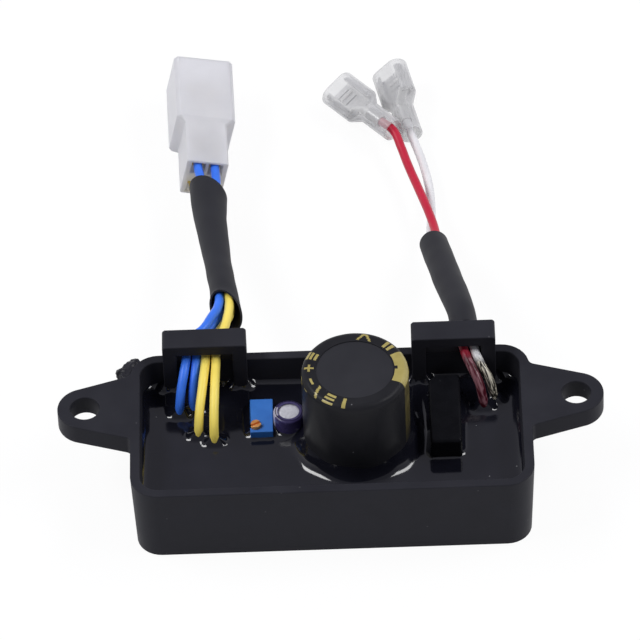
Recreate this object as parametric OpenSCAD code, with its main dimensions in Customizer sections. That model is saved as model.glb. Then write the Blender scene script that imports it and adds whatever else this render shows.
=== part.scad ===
// Automatic voltage regulator for a small generator: a circuit potted in a moulded tray
// with two mounting ears, and two leads that leave under arches on the back wall.
// X runs along the tray, Y towards the leads and Z up; the tray stands on Z = 0.

/* [Tray] */
// Length of the tray over its rim
tray_l = 84.5; // [82:0.5:92]
// Width of the tray over its rim
tray_w = 40.8; // [40:0.2:46]
// Height of the tray
tray_h = 19; // [17:0.5:24]
// Thickness of the walls
wall = 2.1; // [1.6:0.1:2.4]
// Thickness of the floor
floor_t = 1.5; // [1:0.1:2]
// How far each wall leans in from the rim to the bottom
draft = 0.7; // [0.2:0.1:1]
// Radius of the upright corners at the rim
corner_r = 6; // [5:0.5:8]

/* [Mounting ears] */
// Distance of a mounting hole from the end wall
hole_out = 9.55; // [9:0.05:14]
// Diameter of a mounting hole
hole_d = 6.2; // [4:0.1:7]
// Radius of an ear's round tip
ear_r = 5.8; // [5:0.1:7]
// Thickness of an ear
ear_t = 4.8; // [3:0.1:8]
// How far the ears sit behind the middle of the tray
ear_back = 5.65; // [0:0.05:6]
// Slope of an ear's sides, in degrees
ear_flare = 17.5; // [8:0.5:20]
// Radius of the inside corner between an ear and the wall
ear_fillet = 1.7; // [0.5:0.1:3]

/* [Wire arches] */
// Distance between the middles of the two arches
arch_pitch = 52.7; // [50:0.1:56]
// Width of an arch
arch_w = 17.8; // [17.4:0.2:20]
// Height of an arch above the rim
arch_h = 6; // [5:0.1:8]
// Height of the window under an arch above the rim
arch_window = 3.35; // [3.2:0.05:4]
// Width of a leg of an arch
arch_leg = 3; // [2:0.1:3]
// Depth of an arch from front to back
arch_d = 5.4; // [5:0.1:6]
// How far an arch stands out behind the back wall
arch_overhang = 1.6; // [0.8:0.1:2]
// How far the outer legs reach down below the rim
arch_foot = 5; // [2:0.5:10]
// Chamfer on the upper corners of an arch
arch_chamfer = 0.5; // [0.2:0.1:1]

/* [Potting resin] */
// Depth of the resin over the floor
resin_depth = 10.5; // [10.2:0.1:11.5]
// Height that the resin climbs on round parts
meniscus = 1.2; // [0.6:0.1:1.6]

/* [Circuit board] */
// Thickness of the board
board_t = 1.6; // [1:0.1:1.8]
// Height of the pips on the floor that carry the board
pip_h = 1; // [0.8:0.1:1.2]
// Diameter of a pip
pip_d = 3; // [2:0.1:4]
// Gap between the board and the walls
board_gap = 0.6; // [0.3:0.1:1]
// Length of a lead's end under the board
tail = 0.7; // [0.3:0.1:0.8]

/* [Main capacitor] */
// Diameter of the capacitor's can
cap_d = 22; // [20:0.5:23]
// Height of the capacitor over the board
cap_h = 30; // [25:0.5:40]
// Thickness of the shrink sleeve
cap_skin = 0.25; // [0.2:0.05:0.4]
// Width of the sleeve's collar on the top
cap_collar = 3.1; // [2:0.1:4]
// Radius of the shoulder round the top
cap_shoulder = 1.4; // [0.8:0.1:2]
// Thickness of the insulating disc on the top
cap_disc_t = 0.4; // [0.3:0.1:0.8]
// Thickness of the seal in the bottom
cap_seal_t = 2.5; // [2:0.1:4]
// Place of the capacitor along the tray
cap_x = 5.4; // [4:0.1:7]
// Distance between the capacitor's pins
cap_pin_pitch = 10; // [7.5:0.5:12]

/* [Bridge rectifier] */
// Thickness of the rectifier
rect_w = 6.7; // [6:0.1:7.5]
// Length of the rectifier
rect_l = 19.6; // [18:0.1:20]
// Height of the rectifier
rect_h = 12.6; // [11:0.1:16]
// Height of the rectifier's bottom over the board
rect_lift = 0.5; // [0.3:0.1:1]
// Gap between the rectifier and the main capacitor
rect_gap = 4.1; // [1:0.1:4.5]
// Chamfer on the upright corner that marks the plus lead
rect_chamfer = 1.6; // [1:0.1:2.5]
// Distance between neighbouring leads of the rectifier
rect_pitch = 5.08; // [4:0.01:5.5]

/* [Trimmer] */
// Thickness of the trimmer
trim_w = 4.83; // [4.5:0.01:5.2]
// Length of the trimmer
trim_l = 9.53; // [9:0.01:10]
// Height of the trimmer over the board
trim_h = 10; // [9.5:0.1:12]
// Height of the trimmer's feet
trim_foot = 0.4; // [0.3:0.1:0.8]
// Diameter of the adjusting screw
screw_d = 2.2; // [1.8:0.1:2.6]
// Gap around the adjusting screw in its hole
screw_clear = 0.05; // [0.03:0.01:0.1]
// How far the adjusting screw stands out of the trimmer
screw_out = 0.7; // [0.3:0.1:1.2]
// Length of the adjusting screw inside the trimmer
screw_in = 6; // [4:0.5:8]
// Width of the screw's slot
slot_w = 0.5; // [0.4:0.05:0.7]
// Depth of the screw's slot
slot_depth = 0.6; // [0.3:0.05:0.8]

/* [Small capacitor] */
// Diameter of the small capacitor
small_d = 6.6; // [5:0.1:6.8]
// Height of the small capacitor over the board
small_h = 12.4; // [9:0.1:14]
// Thickness of the small capacitor's sleeve
small_skin = 0.2; // [0.1:0.05:0.3]
// Width of the sleeve's collar on the small capacitor
small_collar = 1; // [0.6:0.1:1.4]
// Gap between the small and the main capacitor
small_gap = 0.65; // [0.4:0.05:1]
// Gap between the small capacitor and the trimmer
small_trim_gap = 0.1; // [0.1:0.05:0.6]

/* [Leads] */
// Outer diameter of a wire
wire_d = 1.95; // [1.6:0.05:1.95]
// Wall of the black sleeves over the wires
tube_t = 0.4; // [0.2:0.05:0.4]

/* [Connector] */
// Width of the connector's shell
shell_w = 13.2; // [12.6:0.1:14]
// Height of the connector's shell
shell_h = 11.7; // [11.2:0.1:13]
// Length of the connector's shell
shell_l = 18.6; // [16:0.1:22]
// Width of the connector's neck
neck_w = 9.3; // [9:0.1:10]
// Height of the connector's neck
neck_h = 10.2; // [10:0.1:10.8]
// Length of the connector's neck
neck_l = 13.6; // [12:0.1:16]
// Wall of the shell
shell_t = 1.1; // [0.8:0.1:1.4]
// Width of a wire cell in the neck
cell_w = 3.1; // [3:0.1:3.3]
// Wall round and between the cells of the neck
cell_t = 0.7; // [0.5:0.1:0.9]
// Depth of the wire cells in the neck
cell_depth = 9; // [8:0.5:10]
// Depth of the shell's mating cavity
cavity_depth = 14; // [12:0.5:15]
// Width of a contact blade
blade_w = 2.8; // [2:0.1:3]
// Thickness of a contact blade
blade_t = 0.8; // [0.5:0.1:1]

/* [Spade terminals] */
// Width of a terminal's receptacle
spade_w = 7; // [6.6:0.1:7.4]
// Height of the receptacle over its rolled edges
spade_h = 2.6; // [2.2:0.1:3]
// Thickness of the terminal's sheet
sheet_t = 0.4; // [0.3:0.05:0.5]
// Length of the receptacle
spade_l = 8; // [7:0.1:9]
// Width of a clear cover at its flat end
cover_w = 8.9; // [8.6:0.1:10]
// Diameter of a clear cover at its round end
cover_d = 5.2; // [5:0.1:6]
// Wall of a clear cover
cover_t = 0.45; // [0.4:0.05:0.5]
// Length of a cover's flat end
cover_flat = 8.5; // [8:0.1:11]
// Length of a cover's round end
cover_round = 8.5; // [8:0.1:10]
// Length of the shoulder between the two ends
cover_shoulder = 2.5; // [2:0.1:4]

/* [Hidden] */
$fn = 48;
// Facets of rounded corners that are blended between two heights
blend_fn = 32;
// Small overlap that joins or cuts solids cleanly
over = 0.2;
// Smaller one where a round meets a straight side
lap = 0.02;

// Middle of the tray: half the arches' overhang in front of the origin
tray_y = -arch_overhang / 2;
// Middles of the rounded corners
corner_x = tray_l / 2 - corner_r;
corner_y = tray_w / 2 - corner_r;
// Lean of the walls at a height
function lean(z) = draft * (1 - z / tray_h);
// Free half length and half width of the well at a height
function well_x(z) = tray_l / 2 - wall - lean(z);
function well_y(z) = tray_w / 2 - wall - lean(z);

// Mounting holes
hole_x = tray_l / 2 + hole_out;
ear_y = tray_y + ear_back;
// Half width of an ear at a place along the part
function ear_half(x) = (ear_r - lap) / cos(ear_flare) + (hole_x - x) * tan(ear_flare);

// Arches
arch_front = tray_y + tray_w / 2 + arch_overhang - arch_d;
arch_rear = tray_y + tray_w / 2 + arch_overhang;
arch_top = tray_h + arch_h;
wall_mid = tray_y + tray_w / 2 - wall / 2;

// Heights of the resin and of the board
resin_z = floor_t + resin_depth;
board_z = floor_t + pip_h;
deck = board_z + board_t;
// The board fills the well in front of the arches
board_front = tray_y - well_y(board_z) + board_gap;
board_back = arch_front - board_gap;
board_half = well_x(board_z) - board_gap;
// Distance of the pips from the board's edges
pip_in = 4;

// Main capacitor
cap_y = tray_y;
cap_r = cap_d / 2 + cap_skin;
cap_top = deck + cap_h;
cap_can_r = cap_d / 2;
// Rolled groove that holds the seal
groove_r = 0.6;
groove_z = deck + cap_seal_t + 1.5 * groove_r;
cap_pin_w = 1.5;
cap_pin_t = 0.8;

// Rectifier, beside the capacitor
rect_x = cap_x + cap_r + rect_gap + rect_w / 2;
rect_y = tray_y + 4.2;
rect_z = deck + rect_lift;
rect_lead_d = 1;
rect_leads = 4;

// Small capacitor and trimmer, on the other side
small_turn = 159.9;
small_reach = cap_r + small_gap + small_d / 2;
small_x = cap_x + small_reach * cos(small_turn);
small_y = cap_y + small_reach * sin(small_turn);
small_pitch = 2.5;
small_lead_d = 0.5;
trim_x = small_x - small_d / 2 - small_trim_gap - trim_w / 2;
trim_y = small_y + 1.25;
trim_top = deck + trim_h;
trim_pin_d = 0.5;
trim_pin_pitch = 2.54;
// The screw stands near the front left corner of the trimmer
screw_edge = 1.25;
screw_x = trim_x - trim_w / 2 + screw_edge;
screw_y = trim_y - trim_l / 2 + 1.5 * screw_edge;
slot_turn = 25;

// Power transistor, lying flat in the front left corner of the board
tr_w = 10;
tr_l = 9;
tr_t = 4.4;
tab_l = 6.4;
tab_t = 1.3;
tab_hole_d = 3.6;
tr_lead_d = 0.9;
tr_lead_pitch = 2.54;
tr_lead_l = 2.5;
tr_x = -board_half + 1 + tab_l;
tr_y = board_front + 2 + tr_w / 2;

// Small parts lying on the board
axial_pitch = 7.62;
axial_lead_d = 0.6;
resistor_d = 2.4;
resistor_l = 6.3;
resistor_step = 3.8;
resistor_x = cap_x - cap_r - 1 - axial_pitch / 2;
resistor_y = board_front + 3;
diode_d = 2.7;
diode_l = 5.2;
diode_step = 4;
diode_x = board_half - 1.5 - axial_pitch / 2;
diode_y = board_front + 3;
to92_d = 4.8;
to92_flat = 1.3;
to92_h = 4.7;
to92_lift = 2;
to92_lead_d = 0.5;
to92_pitch = 1.27;
to92_x = cap_x + cap_r + 3.2;
to92_y = board_front + 3.2;
to92_step = 4.4;
film_l = 7.2;
film_t = 2.5;
film_h = 6.2;
film_pitch = 5;
film_x = cap_x - 8.4;
film_y = board_back - film_t / 2 - 0.6;

// Connector: it lies rolled over on its lower right edge
plug_at = [-26.6, 84.3];
plug_roll = 12.5;
plug_yaw = 1.7;
plug_z = shell_w / 2 * sin(plug_roll) + shell_h / 2 * cos(plug_roll);
plug_l = neck_l + shell_l;
cell_px = (cell_w + cell_t) / 2;
cell_pz = neck_h / 2 - cell_t - cell_w / 2;
plug_chamfer = 1.2;
plug_edge = 0.8;
blade_out = 8;
blade_fit = 0.05;
crimp_t = 0.3;
crimp_fit = 0.15;
crimp_l = 4;
crimp_y = 2;
latch_w = 3;
latch_l = 9;
latch_x = -3.6;
// Place in the middle of a cell, at a depth from the wire end
function in_cell(sx, sz, y) =
    let (
        x = sx * cell_px * cos(plug_roll) + sz * cell_pz * sin(plug_roll),
        z = sz * cell_pz * cos(plug_roll) - sx * cell_px * sin(plug_roll)
    )
    [
        plug_at[0] + x * cos(plug_yaw) - y * sin(plug_yaw),
        plug_at[1] + x * sin(plug_yaw) + y * cos(plug_yaw),
        plug_z + z
    ];
// The upper wires lie high where they enter their cells
wire_lift = [0, 0, 0.4];
wire_in = crimp_y + 3;

// Terminals: round end of each cover, its turn about Z, its tip down to the flat end
// and its roll about its own length
spade_red_at = [15.4, 98.4, 6.2];
spade_red_turn = 39;
spade_red_tip = 3;
spade_red_roll = -20;
spade_white_at = [19.4, 100, 3.1];
spade_white_turn = 13;
spade_white_tip = -4.5;
spade_white_roll = -44;
neck_run = 3;
// The crimp sits in the round end, and the receptacle in the flat end
crimp_in = cover_round + cover_shoulder - crimp_l - neck_run;
// Place on a terminal's own line, at a depth in its cover
function in_cover(place, turn, tip, y) =
    place + y * [-sin(turn) * cos(tip), cos(turn) * cos(tip), -sin(tip)];
// Place of a wire's end in the crimp
wire_end = crimp_in + crimp_l - 0.5;

// Routes of the wires, from the board to the far ends
blue_left_route = [
    [-32, 8.8, deck], [-32, 8.8, 9], [-32, 8.8, 13], [-31.8, 9.6, 15.4], [-31.4, 11.4, 17.6],
    [-30.8, 13.8, 19.4], [-30.3, 16.6, 20.3], [-30, 19.4, 20.5], [-28.9, 22, 21.3],
    [-26.4, 24.6, 21.6], [-24.9, 27.7, 21.5], [-23.5, 31.2, 20.9], [-23.2, 37.5, 19.6],
    [-23.9, 44, 17.9], [-24.6, 51, 15.8], [-24.9, 58.5, 14.3], [-25, 66, 12.8],
    [-24.7, 73, 11.3], [-23.9, 79, 10.2], in_cell(1, 1, 0) + wire_lift, in_cell(1, 1, crimp_y),
    in_cell(1, 1, wire_in)
];
blue_right_route = [
    [-29.2, 9.8, deck], [-29.2, 9.8, 9], [-29.2, 9.8, 13], [-29.1, 10.5, 15.3], [-28.8, 12.3, 17.5],
    [-28.4, 14.6, 19.2], [-28.1, 17, 20.1], [-28, 19.4, 20.2], [-27.4, 22.4, 19.6],
    [-25.9, 25.2, 19.3], [-24.3, 28.2, 19], [-23.1, 31.6, 18.5], [-23.2, 37.5, 17.6],
    [-23.9, 44, 15.9], [-24.6, 51, 13.8], [-25.8, 58.5, 12.2], [-26.8, 66, 11],
    [-27.4, 73, 10.2], [-27.1, 79, 10.7], in_cell(-1, 1, 0) + wire_lift, in_cell(-1, 1, crimp_y),
    in_cell(-1, 1, wire_in)
];
yellow_left_route = [
    [-28, 2, deck], [-28, 2, 9], [-28, 2, 12.6], [-27.9, 2.8, 15], [-27.6, 5, 17.3],
    [-27.1, 8.2, 19], [-26.6, 12, 20.1], [-26.2, 16, 20.3], [-26, 19.4, 20.2], [-25, 22.4, 19.8],
    [-23.6, 25.2, 19.3], [-22.2, 28.2, 18.9], [-20.9, 31.6, 18.5], [-21.2, 37.5, 17.6],
    [-21.9, 44, 15.9], [-22.6, 51, 13.8], [-23.7, 58.5, 11.3], [-25, 66, 9.2],
    [-26.3, 73, 7.5], [-27.2, 79, 7.4], in_cell(-1, -1, 0), in_cell(-1, -1, wire_in)
];
yellow_right_route = [
    [-24.7, 0.1, deck], [-24.7, 0.1, 9], [-24.7, 0.1, 12.6], [-24.7, 0.9, 15], [-24.6, 3.2, 17.4],
    [-24.4, 6.8, 19.2], [-24.2, 11, 20.2], [-24, 15.4, 20.4], [-23.9, 19.4, 20.5], [-23.1, 22, 21],
    [-22.1, 24.7, 21.3], [-21.4, 28.2, 21.1], [-21, 31.6, 20.8], [-21.2, 37.5, 19.6],
    [-21.9, 44, 17.9], [-22.6, 51, 15.8], [-22.8, 58.5, 13.4], [-23.2, 66, 11],
    [-23.6, 73, 8.6], [-24.5, 79, 7], in_cell(1, -1, 0), in_cell(1, -1, wire_in)
];
red_route = [
    [32.4, 7.9, deck], [32.4, 7.9, 9], [32.4, 7.9, 12.8], [32.1, 8.6, 15], [31.5, 10.2, 17.2],
    [30.3, 12.4, 18.9], [29.1, 15.2, 19.9], [28.4, 18.2, 20.2], [28, 22.6, 20.3], [27.4, 29, 19.5],
    [26.5, 35.5, 17.6], [25.7, 42, 15.4], [25, 48.5, 13.2], [24.4, 55, 10.7],
    [23.9, 61, 8.4], [23.8, 65.6, 6.8], [22.5, 72.9, 5.8], [20.6, 80.5, 5.1],
    [18.2, 89.2, 5], [17, 93.8, 5.4], spade_red_at,
    in_cover(spade_red_at, spade_red_turn, spade_red_tip, crimp_in),
    in_cover(spade_red_at, spade_red_turn, spade_red_tip, wire_end)
];
white_route = [
    [34.6, 9.9, deck], [34.6, 9.9, 9], [34.6, 9.9, 12.8], [34.2, 10.6, 15], [33.4, 12, 17.1],
    [32.1, 13.8, 18.8], [31.1, 16, 19.9], [30.6, 18.4, 20.2], [30.1, 22.6, 20.3], [29.4, 29, 18.9],
    [28.3, 35.5, 16.4], [26.9, 42, 13.6], [25.6, 48.5, 11], [24.2, 55, 8.5], [22.9, 61, 6.4],
    [22.7, 65.6, 4.9], [22.8, 69.5, 4], [23.1, 73.8, 3.3], [23.1, 77.8, 3], [23, 82, 2.8],
    [22.5, 86.5, 2.8], [21.6, 91.5, 2.8], [20.4, 96.3, 2.9], spade_white_at,
    in_cover(spade_white_at, spade_white_turn, spade_white_tip, crimp_in),
    in_cover(spade_white_at, spade_white_turn, spade_white_tip, wire_end)
];
wire_routes = [
    blue_left_route, blue_right_route, yellow_left_route, yellow_right_route, red_route, white_route
];
wire_sides = 8;
// Routes of the black sleeves, each with its outer radius there
tube_left_route = [
    [-21.8, 31.4, 19.5], [-22.2, 37.5, 18.6], [-22.9, 44, 16.9], [-23.6, 51, 14.8],
    [-24.3, 58.5, 12.8], [-25, 66, 11], [-25.5, 73, 9.4], [-25.8, 80.2, 8.6]
];
tube_left_r = [3.4, 2.95, 2.9, 2.95, 3.2, 3.45, 3.8, 4.1];
// Slopes of the cut at the sleeve's mouth, sideways and upward
tube_left_cut = [-0.6, 0.9];
tube_right_route = [
    [29, 22.6, 20.2], [28.4, 29, 19.2], [27.4, 35.5, 17], [26.3, 42, 14.5], [25.3, 48.5, 12.1],
    [24.3, 55, 9.6], [23.3, 61.7, 7.15]
];
tube_right_r = [2.95, 3, 3.1, 3.2, 3.2, 3.2, 3.15];
tube_right_cut = [0, 0];
tube_sides = 16;

// Direction of a route at one of its points
function unit(v) = v / norm(v);
function heading(route, i) =
    unit(route[min(i + 1, len(route) - 1)] - route[max(i - 1, 0)]);
// Sideways and upward directions square to a heading
function across(t) = unit([1, 0, 0] - t * t[0]);
function above(t) = cross(across(t), t);
// Ring of points round a route's point, leaning along the heading by its cut
function ring(route, i, r, sides, cut = [0, 0]) =
    let (t = heading(route, i), a = across(t), b = above(t))
    [for (k = [0 : sides - 1])
        let (c = r * cos(360 * k / sides), s = r * sin(360 * k / sides))
        route[i] + c * a + s * b + (cut * [c, s]) * t];
// Two triangles for each side between two rings that start at the points m and n
function band(m, n, sides) =
    [for (k = [0 : sides - 1])
        let (j = (k + 1) % sides)
        each [[m + k, n + k, m + j], [m + j, n + k, n + j]]];

// Solid tube swept along a route
module swept(route, r, sides) {
    last = len(route) - 1;
    points = [for (i = [0 : last]) each ring(route, i, r, sides)];
    sides_of = [for (i = [0 : last - 1]) each band(i * sides, (i + 1) * sides, sides)];
    near_end = [[for (k = [0 : sides - 1]) k]];
    far_end = [[for (k = [sides - 1 : -1 : 0]) last * sides + k]];
    polyhedron(points, concat(sides_of, near_end, far_end));
}

// Hollow tube swept along a route with a radius at each point
module swept_hollow(route, radii, t, sides, cut) {
    last = len(route) - 1;
    count = (last + 1) * sides;
    outer = [for (i = [0 : last]) each ring(route, i, radii[i], sides, i == 0 ? cut : [0, 0])];
    inner = [for (i = [0 : last]) each ring(route, i, radii[i] - t, sides, i == 0 ? cut : [0, 0])];
    outside = [for (i = [0 : last - 1]) each band(i * sides, (i + 1) * sides, sides)];
    inside = [for (i = [0 : last - 1]) each band(count + (i + 1) * sides, count + i * sides, sides)];
    near_end = band(count, 0, sides);
    far_end = band(last * sides, count + last * sides, sides);
    polyhedron(concat(outer, inner), concat(outside, inside, near_end, far_end));
}

// Rounded block between two heights, its walls leaning as the tray's do
module leaning_block(z0, z1, inset) {
    hull()
        for (sx = [-1, 1], sy = [-1, 1])
            translate([sx * corner_x, tray_y + sy * corner_y, z0])
                cylinder(
                    h = z1 - z0,
                    r1 = corner_r - inset - lean(z0),
                    r2 = corner_r - inset - lean(z1),
                    $fn = blend_fn
                );
}

// Outline of the right ear, with its root inside the end wall
module ear_outline() {
    root = tray_l / 2 - wall / 2;
    touch_r = ear_r - lap;
    touch = [hole_x + touch_r * sin(ear_flare), touch_r * cos(ear_flare)];
    fillet_x = tray_l / 2 - lean(tray_h - ear_t) + ear_fillet;
    fillet_y = ear_half(fillet_x) + ear_fillet / cos(ear_flare);
    meet = [fillet_x - ear_fillet * sin(ear_flare), fillet_y - ear_fillet * cos(ear_flare)];
    translate([0, ear_y])
        difference() {
            union() {
                translate([hole_x, 0])
                    circle(r = ear_r);
                polygon([
                    [root, -ear_half(root)], [touch[0], -touch[1]], touch, [root, ear_half(root)]
                ]);
                for (side = [0, 1])
                    mirror([0, side])
                        difference() {
                            polygon([
                                [root, 0], [root, fillet_y], [fillet_x, fillet_y], meet, [meet[0], 0]
                            ]);
                            translate([fillet_x, fillet_y])
                                circle(r = ear_fillet + lap);
                        }
            }
            translate([hole_x, 0])
                circle(d = hole_d);
        }
}

// Upright outline of an arch from a height up, with its window
module arch_outline(z0) {
    half = arch_w / 2;
    difference() {
        polygon([
            [-half, z0], [half, z0], [half, arch_top - arch_chamfer], [half - arch_chamfer, arch_top],
            [arch_chamfer - half, arch_top], [-half, arch_top - arch_chamfer]
        ]);
        translate([arch_leg - half, z0 - over])
            square([arch_w - 2 * arch_leg, tray_h + arch_window - z0 + over]);
    }
}

// Inner halves of the arches, whose legs stand on the floor of the well
module arches_inside() {
    for (side = [-1, 1])
        translate([side * arch_pitch / 2, wall_mid, 0])
            rotate([90, 0, 0])
                linear_extrude(wall_mid - arch_front)
                    arch_outline(floor_t - over);
}

// Outer halves of the arches, behind the back wall
module arches_outside() {
    for (side = [-1, 1])
        translate([side * arch_pitch / 2, arch_rear, 0])
            rotate([90, 0, 0])
                linear_extrude(arch_rear - wall_mid)
                    arch_outline(tray_h - arch_foot);
}

// Pips that carry the corners of the board
module pips() {
    for (x = [-board_half + pip_in, board_half - pip_in], y = [board_front + pip_in, board_back - pip_in])
        translate([x, y, floor_t - over])
            cylinder(d = pip_d, h = pip_h + over);
}

// Moulded tray with its ears and wire arches
module tray() {
    color([0.1, 0.1, 0.12]) {
        difference() {
            union() {
                leaning_block(0, tray_h, 0);
                for (side = [0, 1])
                    mirror([side, 0, 0])
                        translate([0, 0, tray_h - ear_t])
                            linear_extrude(ear_t)
                                ear_outline();
            }
            leaning_block(floor_t, tray_h + over, wall);
        }
        arches_inside();
        arches_outside();
        pips();
    }
}

// Cone of resin that climbs a round part
module climb(x, y, r) {
    translate([x, y, resin_z - over])
        cylinder(h = meniscus + over, r1 = r + meniscus + over, r2 = r);
}

// Cast resin, with room for all that it holds
module potting_resin() {
    color([0.07, 0.07, 0.09])
        difference() {
            union() {
                leaning_block(floor_t, resin_z, wall);
                climb(cap_x, cap_y, cap_r);
                climb(small_x, small_y, small_d / 2);
                for (route = wire_routes)
                    climb(route[0][0], route[0][1], wire_d / 2);
            }
            arches_inside();
            pips();
            board_blank(0);
            translate([cap_x, cap_y, deck])
                cylinder(r = cap_r, h = cap_h);
            translate([small_x, small_y, deck])
                cylinder(d = small_d, h = small_h);
            for (route = wire_routes)
                translate(route[0])
                    cylinder(d = wire_d, h = cap_h);
            capacitor_pins();
            rectifier_body();
            rectifier_leads();
            trimmer_body();
            translate([screw_x, screw_y, trim_top - screw_in])
                cylinder(d = screw_d + 2 * screw_clear, h = screw_in);
            trimmer_pins();
            small_capacitor_leads();
            transistor_body();
            transistor_frame();
            signal_transistors();
            resistors();
            diodes();
            film_capacitor();
        }
}

// Hardened run of resin outside the back left corner
module resin_spill() {
    spill_r = 2.2;
    color([0.07, 0.07, 0.09])
        difference() {
            hull() {
                translate([-tray_l / 2 + 1.4, tray_y + tray_w / 2 - 1.4, tray_h - 2.6])
                    sphere(r = spill_r - 0.4, $fn = 24);
                translate([-tray_l / 2 + 0.2, tray_y + tray_w / 2 - 3.4, tray_h - 2.4])
                    sphere(r = spill_r, $fn = 24);
                translate([-tray_l / 2 - 0.8, tray_y + tray_w / 2 - 6, tray_h - 2.4])
                    sphere(r = spill_r, $fn = 24);
            }
            leaning_block(-over, tray_h + over, 0);
            mirror([1, 0, 0])
                translate([0, 0, tray_h - ear_t])
                    linear_extrude(ear_t)
                        ear_outline();
        }
}

// Board without its holes, grown by a margin
module board_blank(margin) {
    translate([-board_half, board_front, board_z - margin])
        cube([2 * board_half, board_back - board_front, board_t + 2 * margin]);
}

// Circuit board, drilled for every lead
module circuit_board() {
    color([0.2, 0.36, 0.2])
        difference() {
            board_blank(0);
            capacitor_pins();
            rectifier_leads();
            trimmer_pins();
            small_capacitor_leads();
            transistor_frame();
            signal_transistors();
            resistors();
            diodes();
            film_capacitor();
        }
}

// Aluminium can with its shoulder and the rolled groove over the seal
module capacitor_can() {
    can_top = cap_top - cap_skin - cap_disc_t;
    bend = cap_shoulder - cap_skin;
    color([0.75, 0.76, 0.78])
        translate([cap_x, cap_y, 0])
            difference() {
                union() {
                    translate([0, 0, deck])
                        cylinder(r = cap_can_r, h = can_top - bend - deck);
                    translate([0, 0, can_top - bend])
                        rotate_extrude()
                            intersection() {
                                union() {
                                    square([cap_can_r - bend, bend]);
                                    translate([cap_can_r - bend, 0])
                                        circle(r = bend);
                                }
                                square([cap_can_r, bend]);
                            }
                }
                translate([0, 0, deck - over])
                    cylinder(r = cap_can_r - 2 * groove_r, h = cap_seal_t + over);
                translate([0, 0, groove_z])
                    rotate_extrude()
                        translate([cap_can_r, 0])
                            circle(r = groove_r);
            }
}

// Shrink sleeve round the can, with its collar on the top
module capacitor_sleeve() {
    bend = cap_shoulder;
    color([0.09, 0.09, 0.1])
        translate([cap_x, cap_y, 0])
            difference() {
                union() {
                    translate([0, 0, deck])
                        cylinder(r = cap_r, h = cap_h - bend);
                    translate([0, 0, cap_top - bend])
                        rotate_extrude()
                            intersection() {
                                union() {
                                    square([cap_r - bend, bend]);
                                    translate([cap_r - bend, 0])
                                        circle(r = bend);
                                }
                                square([cap_r, bend]);
                            }
                }
                translate([0, 0, deck - over])
                    cylinder(r = cap_can_r, h = cap_h - bend + over);
                translate([0, 0, cap_top - bend - over])
                    rotate_extrude()
                        intersection() {
                            union() {
                                square([cap_r - bend, bend - cap_skin + over]);
                                translate([cap_r - bend, over])
                                    circle(r = bend - cap_skin);
                                square([cap_can_r, over]);
                            }
                            square([cap_can_r, bend]);
                        }
                translate([0, 0, cap_top - cap_shoulder])
                    cylinder(r = cap_r - cap_collar, h = cap_shoulder + over);
            }
}

// Insulating disc under the collar
module capacitor_disc() {
    color([0.12, 0.12, 0.13])
        translate([cap_x, cap_y, cap_top - cap_skin - cap_disc_t])
            cylinder(r = cap_can_r - cap_shoulder, h = cap_disc_t);
}

// Seal in the bottom of the can
module capacitor_seal() {
    color([0.16, 0.14, 0.12])
        difference() {
            translate([cap_x, cap_y, deck])
                cylinder(r = cap_can_r - 2 * groove_r, h = cap_seal_t);
            capacitor_pins();
        }
}

// Snap-in pins through the board
module capacitor_pins() {
    color([0.8, 0.8, 0.78])
        for (side = [-1, 1])
            translate([
                cap_x + side * cap_pin_pitch / 2 - cap_pin_t / 2,
                cap_y - cap_pin_w / 2,
                board_z - tail
            ])
                cube([cap_pin_t, cap_pin_w, board_t + tail + cap_seal_t / 2]);
}

// Moulded body of the bridge rectifier, with its marked corner
module rectifier_body() {
    color([0.08, 0.08, 0.09])
        translate([rect_x - rect_w / 2, rect_y - rect_l / 2, rect_z])
            linear_extrude(rect_h)
                polygon([
                    [0, 0], [rect_w, 0], [rect_w, rect_l], [rect_chamfer, rect_l], [0, rect_l - rect_chamfer]
                ]);
}

// Round leads of the bridge rectifier
module rectifier_leads() {
    color([0.8, 0.8, 0.78])
        for (i = [0 : rect_leads - 1])
            translate([rect_x, rect_y + (i - (rect_leads - 1) / 2) * rect_pitch, board_z - tail])
                cylinder(d = rect_lead_d, h = rect_z - board_z + tail);
}

// Moulded body of the multi-turn trimmer, on two feet
module trimmer_body() {
    color([0.16, 0.42, 0.83])
        difference() {
            union() {
                translate([trim_x - trim_w / 2, trim_y - trim_l / 2, deck + trim_foot])
                    cube([trim_w, trim_l, trim_h - trim_foot]);
                for (y = [trim_y - trim_l / 2, trim_y + trim_l / 2 - 1])
                    translate([trim_x - trim_w / 2, y, deck])
                        cube([trim_w, 1, trim_foot + over]);
            }
            translate([screw_x, screw_y, trim_top - screw_in])
                cylinder(d = screw_d + 2 * screw_clear, h = screw_in + over);
        }
}

// Slotted adjusting screw of the trimmer
module trimmer_screw() {
    color([0.8, 0.62, 0.3])
        difference() {
            translate([screw_x, screw_y, trim_top - screw_in])
                cylinder(d = screw_d, h = screw_in + screw_out);
            translate([screw_x, screw_y, trim_top + screw_out - slot_depth])
                rotate([0, 0, slot_turn])
                    translate([-screw_d, -slot_w / 2, 0])
                        cube([2 * screw_d, slot_w, slot_depth + over]);
        }
}

// Three pins of the trimmer
module trimmer_pins() {
    color([0.8, 0.8, 0.78])
        for (i = [-1 : 1])
            translate([trim_x, trim_y + i * trim_pin_pitch, board_z - tail])
                cylinder(d = trim_pin_d, h = board_t + tail + trim_foot);
}

// Can of the small capacitor
module small_capacitor_can() {
    color([0.78, 0.79, 0.82])
        translate([small_x, small_y, deck])
            cylinder(d = small_d - 2 * small_skin, h = small_h - small_skin);
}

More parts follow.
